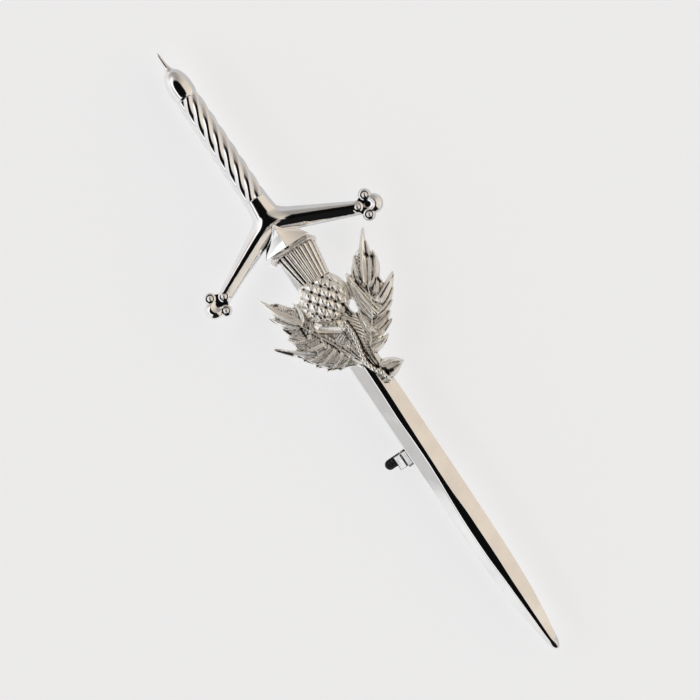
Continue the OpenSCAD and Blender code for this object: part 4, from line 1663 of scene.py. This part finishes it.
    def brim(self, x: Array, y: Array) -> Array:
        """Gives the height of the tuft's brim, a low arch with its ends turned down.

        Args:
            x: Points to the right of its middle.
            y: Points above the bulb's middle.

        Returns:
            The height.
        """
        inset, turn, end_half = self.brim_end
        share, sag = self.brim_bend
        top, end, thick = self.tuft_len - self.brim_len / 2, self.brim_half - inset, self.brim_len / 2
        made = np.full(np.broadcast(x, y).shape, -FAR)
        for side in (-1, 1):
            bend = (side * end * share, top - sag)
            flat = Ridge((0, top), bend, (thick, thick), self.brim_tops[:2], border=self.brim_border)
            corner = (side * end, top - turn)
            tip = Ridge(bend, corner, (thick, end_half), self.brim_tops[1:], border=self.brim_border)
            made = soft_join(made, soft_join(flat.height(x, y), tip.height(x, y), self.melt), self.melt)
        return made

    def small_forms(self) -> list[Form]:
        """Draws the stem's rib, the foot with its toes, the scale under the bulb and the filled gaps.

        Returns:
            The ridges and lobes.
        """
        half, top = (self.stem_half, self.stem_half), (self.stem_h, self.stem_h)
        made: list[Form] = []
        for start, end in zip(self.stem, self.stem[1:]):
            made.append(Ridge(start, end, half, top, Profile.ROUND, self.stem_border))
        x, y = self.stem[-1]
        (x0, y0), (x1, y1) = self.foot.start, self.foot.end
        made.append(replace(self.foot, start=(x + x0, y + y0), end=(x + x1, y + y1)))
        for toe in self.toes:
            (x0, y0), (x1, y1) = toe.root, toe.tip
            made.append(replace(toe, root=(x + x0, y + y0), tip=(x + x1, y + y1)))
        return [*made, self.scale, *self.fill]

    def beads(self) -> list[Pair]:
        """Spaces the beads along the stem.

        Returns:
            Their places.
        """
        path = np.array(self.stem)
        lengths = np.concatenate([[0], np.cumsum(np.hypot(*np.diff(path, axis=0).T))])
        stops = np.arange(self.bead_margin, lengths[-1] - self.bead_margin, self.bead_pitch)
        return list(zip(np.interp(stops, lengths, path[:, 0]), np.interp(stops, lengths, path[:, 1])))

    def plan(self, x: Array, y: Array) -> Array:
        """Gives the height of the whole relief over its back.

        Args:
            x: Points to the right of the bulb's middle.
            y: Points above it.

        Returns:
            The height.
        """
        made = self.forms[0].height(x, y)
        for form in self.forms[1:]:
            made = soft_join(made, form.height(x, y), self.melt)
        made = soft_join(made, self.tuft(x - self.tuft_at, y), self.melt)
        made = soft_join(made, self.brim(x - self.brim_at, y), self.melt)
        made = soft_join(made, self.bulb(x, y), self.melt)
        for bx, by in self.beads():
            away = np.hypot(x - bx, y - by)
            bead = np.sqrt(np.maximum(self.bead_r**2 - away**2, 0))
            bead = bead - self.bead_wall * np.maximum(away - self.bead_r, 0)
            made = np.maximum(made, self.stem_h - self.bead_sink + bead)
        u, v = x - self.hole_at[0], y - self.hole_at[1]
        cos, sin = self.hole_turn
        hole = self.hole_r - np.hypot(u * cos + v * sin, (v * cos - u * sin) * self.hole_squeeze)
        u, v = x - self.notch_at[0], y - self.notch_at[1]
        notch = self.notch_r - np.hypot(u * self.notch_squeeze[0], v * self.notch_squeeze[1])
        made = np.minimum(made, -self.hole_wall * hole)
        return np.minimum(made, self.notch_floor - self.notch_wall * notch)

    def solid(self, x: Array, y: Array, z: Array) -> Array:
        """Gives the field of the casting with its seat over the blade and its posts.

        Args:
            x: Coordinates to the right.
            y: Coordinates along the sword.
            z: Coordinates towards the front.

        Returns:
            The field.
        """
        at = self.places
        height = self.plan(x - self.shift, y - at.bulb_y)
        seat = at.back_z + at.blade_h + self.seat_lift - at.fall * np.abs(x)
        back = np.where(np.abs(x) < at.half_blade + at.seat_gap, np.maximum(seat, at.leaf_z), at.leaf_z)
        made = np.minimum(at.leaf_z + height - z, z - back)
        for post_y in (at.bulb_y, at.lower_post_y):
            rod = at.post_r - np.hypot(x, y - post_y)
            made = np.maximum(made, np.minimum(rod, slab(z, at.back_z, at.leaf_z + self.post_bite)))
        return made

    def hollows(self, points: Array, faces: Array) -> Array:
        """Says how dark each point of the casting is: by its hollows, the painted shade strokes and the worn
        strokes with painted highlights.

        Args:
            points: The casting's points.
            faces: Its faces.

        Returns:
            A number for each point, from minus one on a worn crest with a painted highlight to one in a
            hollow dark with patina and painted shade.
        """
        made = np.zeros(len(points))
        for share, rounds, depth in self.hollow_scales:
            made = made + share * hollows_of(points, faces, rounds, depth)
        x, y = points[:, 0] - self.shift, points[:, 1] - self.places.bulb_y
        # Painted shade strokes darken the finish; worn strokes with painted highlights lighten it.
        for strokes, strength in ((self.painted_shade_strokes, self.painted_shade_depth), (self.worn_and_highlight_strokes, -self.worn_and_highlight_depth)):
            for x0, y0, x1, y1, half in strokes:
                _, away = nearest_on(x, y, (x0, y0), (x1, y1))
                made = made + strength * np.exp(-((away / half) ** 2))
        return np.clip(made, -1, 1)

    def build(self) -> Piece:
        """Builds the casting.

        Returns:
            The thistle.
        """
        low, high = self.box()
        margin = Vector((self.margin, self.margin, 0))
        points, faces = skin(self.solid, low - margin, high + margin, self.step, self.rounds)
        piece = self.piece_of(points, faces)
        mark_hollows(piece, self.hollows(points, faces))
        return piece


# The pin and its catch


@dataclass
class PinStem(Skinned):
    """The pin's stem, hinge block and plate, one plain piece."""

    node: ClassVar[str] = "pin"
    slot: ClassVar[Slot] = Slot.WIRE
    sharp: ClassVar[float] = 40.0
    block_w: float = 4.4
    barrel_r: float = 1.2
    barrel_lift: float = 0.05
    barrel_fillet: float = 0.1
    foot_w: float = 1.6
    foot_z: float = 0.01
    foot_fillet: float = 0.2
    stem_r: float = 0.5
    stem_sides: int = 48
    stem_rings: int = 24
    point_r: float = 0.06
    point_len: float = 3.0
    point_rings: int = 14
    point_power: float = 0.8
    past_catch: float = 4.0
    step: float = 0.07
    edge: float = 0.16

    def solid(self, x: Array, y: Array, z: Array) -> Array:
        """Gives the field of the hinge block with its plate and post.

        Args:
            x: Coordinates to the right.
            y: Coordinates along the sword.
            z: Coordinates towards the front.

        Returns:
            The field.
        """
        at, half, foot = self.places, self.block_w / 2, self.foot_w / 2
        hinge_y, top = at.hinge_y, at.plate_top
        low, high = (-half, hinge_y - half, top - at.plate_h), (half, hinge_y + half, top)
        made = block(x, y, z, low, high, self.edge)
        low, high = (-half, hinge_y - foot, self.foot_z), (half, hinge_y + foot, top - self.foot_fillet)
        made = soft_join(made, block(x, y, z, low, high, self.edge), self.foot_fillet)
        barrel = self.barrel_r - np.hypot(y - hinge_y, z - self.barrel_r - self.barrel_lift)
        made = soft_join(made, soft_meet(barrel, slab(x, -half, half), self.edge), self.barrel_fillet)
        return np.maximum(made, at.plate_post(x, y - hinge_y, z))

    def build(self) -> Piece:
        """Builds the piece.

        Returns:
            The stem with its hinge block.
        """
        at, half = self.places, self.block_w / 2
        low, high = (-half, at.hinge_y - half, 0), (half, at.hinge_y + half, at.back_z + at.plate_post_len)
        piece = self.piece_of(*skin(self.solid, low, high, self.step))
        x, catch_y, z = at.joint
        point_y = catch_y - self.past_catch
        shares = np.linspace(0, 1, self.point_rings)
        radii = between((self.point_r, self.stem_r), shares**self.point_power)
        profile = list(zip(radii, point_y + shares * self.point_len))
        straight = np.linspace(point_y + self.point_len, at.hinge_y, self.stem_rings)[1:]
        profile += [(self.stem_r, y) for y in straight]
        stem = make_object("stem", *loft(turned(profile, x, z, self.stem_sides)))
        apply_boolean(piece, stem, Cut.JOIN)
        return piece


@dataclass
class CatchHousing(Skinned):
    """The open housing of the safety catch with its neck, plate and post."""

    node: ClassVar[str] = "catch"
    slot: ClassVar[Slot] = Slot.WIRE
    sharp: ClassVar[float] = 60.0
    outer_r: float = 1.545
    wall: float = 0.44
    mouth: Pair = (148.0, 266.0)
    neck: Pair = (0.7, 0.9)
    neck_fillet: float = 0.06
    plate: Pair = (-2.35, 0.35)
    plate_past: float = 0.8
    plate_fillet: float = 0.1
    step: float = 0.052
    edge: float = 0.1

    def solid(self, x: Array, y: Array, z: Array) -> Array:
        """Gives the field of the housing.

        Args:
            x: Coordinates to the right.
            y: Coordinates along the sword.
            z: Coordinates towards the front.

        Returns:
            The field.
        """
        at, half = self.places, self.places.housing_len / 2
        cx, cy, cz = at.joint
        left, right = self.plate
        u, v, w = x - cx, y - cy, z - cz
        radius = np.hypot(u, w)
        low = (left, -half, cz + self.outer_r * self.neck[0])
        high = (left + self.outer_r * self.neck[1], half, at.plate_top - at.plate_h / 2)
        tube = soft_meet(self.outer_r - radius, slab(v, -half, half), self.edge)
        tube = soft_join(tube, block(x, v, z, low, high, self.edge), self.neck_fillet)
        tube = soft_meet(tube, radius - (self.outer_r - self.wall), self.edge)
        start, end = (math.radians(a) for a in self.mouth)
        wedge = np.minimum(w * math.cos(start) - u * math.sin(start), u * math.sin(end) - w * math.cos(end))
        tube = soft_cut(tube, wedge, self.edge)
        end = half + self.plate_past
        low, high = (left, -end, at.plate_top - at.plate_h), (right, end, at.plate_top)
        made = soft_join(tube, block(x, v, z, low, high, self.edge), self.plate_fillet)
        return np.maximum(made, at.plate_post(x - at.catch_post_x, v, z))


@dataclass
class CatchLever(Skinned):
    """The drum of the safety catch with its flanges, its slot and the tab that turns it."""

    node: ClassVar[str] = "catch_lever"
    slot: ClassVar[Slot] = Slot.LEVER
    body: ClassVar[Body] = Body.LEVER
    sharp: ClassVar[float] = 60.0
    drum_r: float = 1.05
    flange_r: float = 1.35
    flange_h: float = 0.3
    flange_fillet: float = 0.04
    tab_reach: float = 4.35
    tab_root: float = 2.4
    tab_h: float = 0.45
    tab_w: float = 1.65
    tab_fillet: float = 0.1
    root_fillet: float = 0.08
    gusset: Triple = (2.55, 1.55, 0.52)
    gusset_ends: Pair = (0.5, 0.1)
    slot_r: float = 0.56
    slot_back: float = 50.0
    slot_round: float = 0.05
    step: float = 0.05
    edge: float = 0.09

    def solid(self, x: Array, y: Array, z: Array) -> Array:
        """Gives the field of the lever.

        Args:
            x: Coordinates to the right.
            y: Coordinates along the sword.
            z: Coordinates towards the front.

        Returns:
            The field.
        """
        cx, cy, cz = self.places.joint
        u, v, w = x - cx, y - cy, z - cz
        inner, tab_half = self.places.housing_len / 2, self.tab_h / 2
        drum_half = inner + self.places.seat_gap
        half = drum_half + self.flange_h
        radius = np.hypot(u, w)
        made = soft_meet(self.drum_r - radius, half - np.abs(v), self.edge)
        flange = soft_meet(self.flange_r - radius, slab(np.abs(v), drum_half, half), self.edge)
        made = soft_join(made, flange, self.flange_fillet)
        root = block(u, v, w, (-self.tab_root, -inner, -tab_half), (0, inner, tab_half), self.edge)
        middle, end = half - self.tab_w / 2, self.tab_w / 2 - self.tab_reach
        round_end = self.tab_w / 2 - np.hypot(np.minimum(u - end, 0), v - middle)
        tab = soft_meet(np.minimum(round_end, -u), slab(w, -tab_half, tab_half), self.edge)
        made = soft_join(soft_join(made, root, self.root_fillet), tab, self.tab_fillet)
        start, stop, rise = self.gusset
        ramp = tab_half + rise * np.clip((start + u) / (start - stop), 0, 1)
        near, past = self.gusset_ends
        rib = soft_meet(inner - np.abs(v), slab(-u, near, start + past), self.edge)
        made = soft_join(made, soft_meet(rib, slab(w, 0, ramp), self.edge), self.root_fillet)
        turn = math.radians(self.slot_back)
        out = -u * math.cos(turn) + w * math.sin(turn)
        side = u * math.sin(turn) + w * math.cos(turn)
        slot = np.where(out > 0, self.slot_r - np.abs(side), self.slot_r - radius)
        return soft_cut(made, slot, self.slot_round)


PARTS: tuple[type[Part], ...] = (Blade, Crossguard, Grip, Pommel, Thistle, PinStem, CatchHousing, CatchLever)


# The studio


@dataclass(frozen=True)
class Surround:
    """The soft surround of the light table: lit round its sides, dark overhead and over one sector.

    A row of a ring holds an azimuth in the photograph and the colour there.
    """

    low_ring: Rows = (
        (-180, 1.05, 1.05, 1.05), (-150, 1.00, 1.00, 1.00), (-110, 1.00, 1.00, 1.00), (-99, 0.01, 0.01, 0.01),
        (-51, 0.01, 0.01, 0.01), (-41, 0.88, 0.82, 0.74), (0, 0.97, 0.89, 0.79), (40, 0.88, 0.78, 0.66),
        (85, 0.42, 0.40, 0.38), (115, 0.42, 0.40, 0.38), (150, 0.76, 0.69, 0.66), (180, 1.15, 1.15, 1.15),
    )
    middle_ring: Rows = (
        (-180.0, 1.1, 1.1, 1.1), (-150.0, 0.625, 0.62, 0.61), (-110.0, 0.8, 0.8, 0.8),
        (-99.0, 0.01, 0.01, 0.01), (-51.0, 0.01, 0.01, 0.01), (-41.0, 0.86, 0.78, 0.68),
        (0.0, 0.97, 0.87, 0.75), (40.0, 0.85, 0.735, 0.605), (85.0, 0.38, 0.36, 0.34),
        (115.0, 0.4, 0.38, 0.36), (150.0, 0.68, 0.61, 0.58), (180.0, 1.1, 1.1, 1.1),
    )
    high_ring: Rows = (
        (-180, 1.70, 1.70, 1.70), (-150, 1.70, 1.70, 1.70), (-110, 1.40, 1.40, 1.40), (-99, 0.01, 0.01, 0.01),
        (-51, 0.01, 0.01, 0.01), (-41, 0.84, 0.77, 0.69), (0, 0.95, 0.88, 0.78), (40, 0.84, 0.75, 0.64),
        (85, 0.36, 0.33, 0.31), (115, 0.46, 0.43, 0.41), (150, 1.30, 1.28, 1.25), (180, 1.70, 1.70, 1.70),
    )
    overhead: Triple = (0.004, 0.004, 0.004)
    overhead_lean: float = 11.0
    overhead_azimuth: float = -150.0
    overhead_edge: Pair = (41.0, 30.0)
    high_edge: Pair = (59.0, 54.0)
    low_edge: Pair = (75.0, 69.0)
    seen: float = 0.83

    def direction(self, azimuth: float, from_top: float) -> Triple:
        """Gives a direction in the model's frame.

        Args:
            azimuth: Angle in the photograph, from its right towards its top.
            from_top: Angle from straight up.

        Returns:
            The direction.
        """
        angle = math.radians(azimuth + PHOTO_TURN)
        flat = math.sin(math.radians(from_top))
        return flat * math.cos(angle), flat * math.sin(angle), math.cos(math.radians(from_top))

    def ramp(self, bench: NodeBench, factor: Socket, rows: Rows) -> Socket:
        """Adds a ramp of colours round the horizon.

        Args:
            bench: The world's bench.
            factor: The azimuth, from zero to one.
            rows: Azimuth and colour of each stop.

        Returns:
            The colour.
        """
        node = bench.add("ShaderNodeValToRGB", {"Fac": factor})
        stops = node.color_ramp.elements
        while len(stops) < len(rows):
            stops.new(0.5)
        for stop, row in zip(stops, rows):
            stop.position = (row[0] + 180) / 360
            stop.color = (*row[1:], 1)
        return node.outputs[0]

    def build(self) -> None:
        """Builds the world."""
        world = bpy.data.worlds.new("surround")
        bpy.context.scene.world = world
        world.use_nodes = True
        bench = NodeBench(world.node_tree)
        way = bench.add("ShaderNodeTexCoord").outputs["Generated"]

        def along(direction: Triple) -> Socket:
            """Adds the share of the view's direction that runs along another.

            Args:
                direction: The other direction.

            Returns:
                The share.
            """
            node = bench.add("ShaderNodeVectorMath", {0: way}, {1: direction}, operation="DOT_PRODUCT")
            return node.outputs["Value"]

        def band(source: Socket, start: float, end: float) -> Socket:
            """Adds a soft step between two angles from a direction.

            Args:
                source: The share of the view's direction that runs along it.
                start: Angle at which the step is zero.
                end: Angle at which it is one.

            Returns:
                The step.
            """
            values = {"From Min": math.cos(math.radians(start)), "From Max": math.cos(math.radians(end))}
            node = bench.add("ShaderNodeMapRange", {"Value": source}, values, interpolation_type="SMOOTHSTEP")
            return node.outputs[0]

        right, up = along(self.direction(0, 90)), along(self.direction(90, 90))
        azimuth = bench.add("ShaderNodeMath", {0: up, 1: right}, operation="ARCTAN2").outputs[0]
        factor = bench.ranged(azimuth, 0, 1, -math.pi, math.pi)
        rings = self.ramp(bench, factor, self.low_ring)
        for rows, edge in ((self.middle_ring, self.low_edge), (self.high_ring, self.high_edge)):
            rings = bench.mixed(band(along((0, 0, 1)), *edge), rings, self.ramp(bench, factor, rows))
        lean = along(self.direction(self.overhead_azimuth, self.overhead_lean))
        covered = bench.mixed(band(lean, *self.overhead_edge), rings, self.overhead)
        lit = bench.add("ShaderNodeBackground", {"Color": covered})
        plain = bench.add("ShaderNodeBackground", values={"Color": (self.seen, self.seen, self.seen, 1)})
        path = bench.add("ShaderNodeLightPath").outputs["Is Camera Ray"]
        mix = bench.add("ShaderNodeMixShader", {0: path, 1: lit.outputs[0], 2: plain.outputs[0]})
        bench.add("ShaderNodeOutputWorld", {"Surface": mix.outputs[0]})


@dataclass(frozen=True)
class LightTable:
    """The plain pale floor, a sheet that is softly lit from below as well as from above."""

    size: float = 3.0
    colour: Triple = (0.42, 0.428, 0.45)
    rough: float = 0.9
    shine: float = 0.1
    glow: float = 0.635
    # Glow that reflections see, from the floor's left to its right: painted shade.
    shaded_mirror_glow: Pair = (0.72, 0.44)
    change_at: float = 2.5

    def build(self) -> Piece:
        """Builds the floor.

        Returns:
            The floor.
        """
        half = self.size / 2 / MM
        corners = np.array([(-half, -half, 0), (half, -half, 0), (half, half, 0), (-half, half, 0)])
        floor = make_object("light_table", corners, [[0, 1, 2, 3]])
        material = bpy.data.materials.new("pale_sheet")
        material.use_nodes = True
        bench = NodeBench(material.node_tree)
        values = {
            "Base Color": (*self.colour, 1), "Roughness": self.rough, "Specular IOR Level": self.shine,
            "Emission Color": (1, 1, 1, 1),
        }
        seen = bench.add("ShaderNodeLightPath").outputs["Is Camera Ray"]
        place = bench.add("ShaderNodeTexCoord").outputs["Object"]
        across = bench.add("ShaderNodeSeparateXYZ", {0: place}).outputs[0]
        # Painted shade: rays that are not from the camera see the floor glow less towards its right, a darker
        # floor beside the pin standing in for its shade; the camera sees the even glow.
        shaded_mirror = bench.ranged(across, *self.shaded_mirror_glow, -self.change_at * MM, self.change_at * MM)
        glow = bench.ranged(seen, 0, self.glow)
        bench.tree.links.new(shaded_mirror, glow.node.inputs["To Min"])
        shader = bench.add("ShaderNodeBsdfPrincipled", {"Emission Strength": glow}, values)
        bench.add("ShaderNodeOutputMaterial", {"Surface": shader.outputs[0]})
        floor.data.materials.append(material)
        return floor


@dataclass(frozen=True)
class PhotoCamera:
    """The camera of the photograph, straight above the pin, with the pommel to the upper left."""

    mm_per_px: float = 0.15
    image_px: int = 700
    middle: Pair = (-0.83, 0.77)
    distance: float = 900.0
    focus_z: float = 5.0
    sensor: float = 36.0
    clip: Pair = (0.05, 20.0)

    def build(self) -> Piece:
        """Builds the camera.

        Returns:
            The camera.
        """
        data = bpy.data.cameras.new("photo_camera")
        data.sensor_width = self.sensor
        data.lens = data.sensor_width * self.distance / (self.mm_per_px * self.image_px)
        data.clip_start, data.clip_end = self.clip
        camera = bpy.data.objects.new("photo_camera", data)
        camera.location = Vector((*self.middle, self.focus_z + self.distance)) * MM
        camera.rotation_euler = (0, 0, math.radians(PHOTO_TURN))
        bpy.context.scene.collection.objects.link(camera)
        bpy.context.scene.camera = camera
        return camera


def main() -> None:
    """Builds the studio and every piece of the pin, in order."""
    logging.basicConfig(level=logging.INFO, format="%(name)s: %(message)s")
    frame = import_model()
    bpy.context.scene.view_settings.view_transform = "Standard"
    PhotoCamera().build()
    Surround().build()
    LightTable().build()
    places = Datums.from_frame(frame["joints"])
    materials = {slot: finish.material() for slot, finish in FINISHES.items()}
    for kind in PARTS:
        part = kind(places)
        piece = part.build()
        part.dress(piece, materials[part.slot])
        log.info("%s: %d faces, stands for %s", piece.name, len(piece.data.polygons), part.node)


if __name__ == "__main__":
    main()
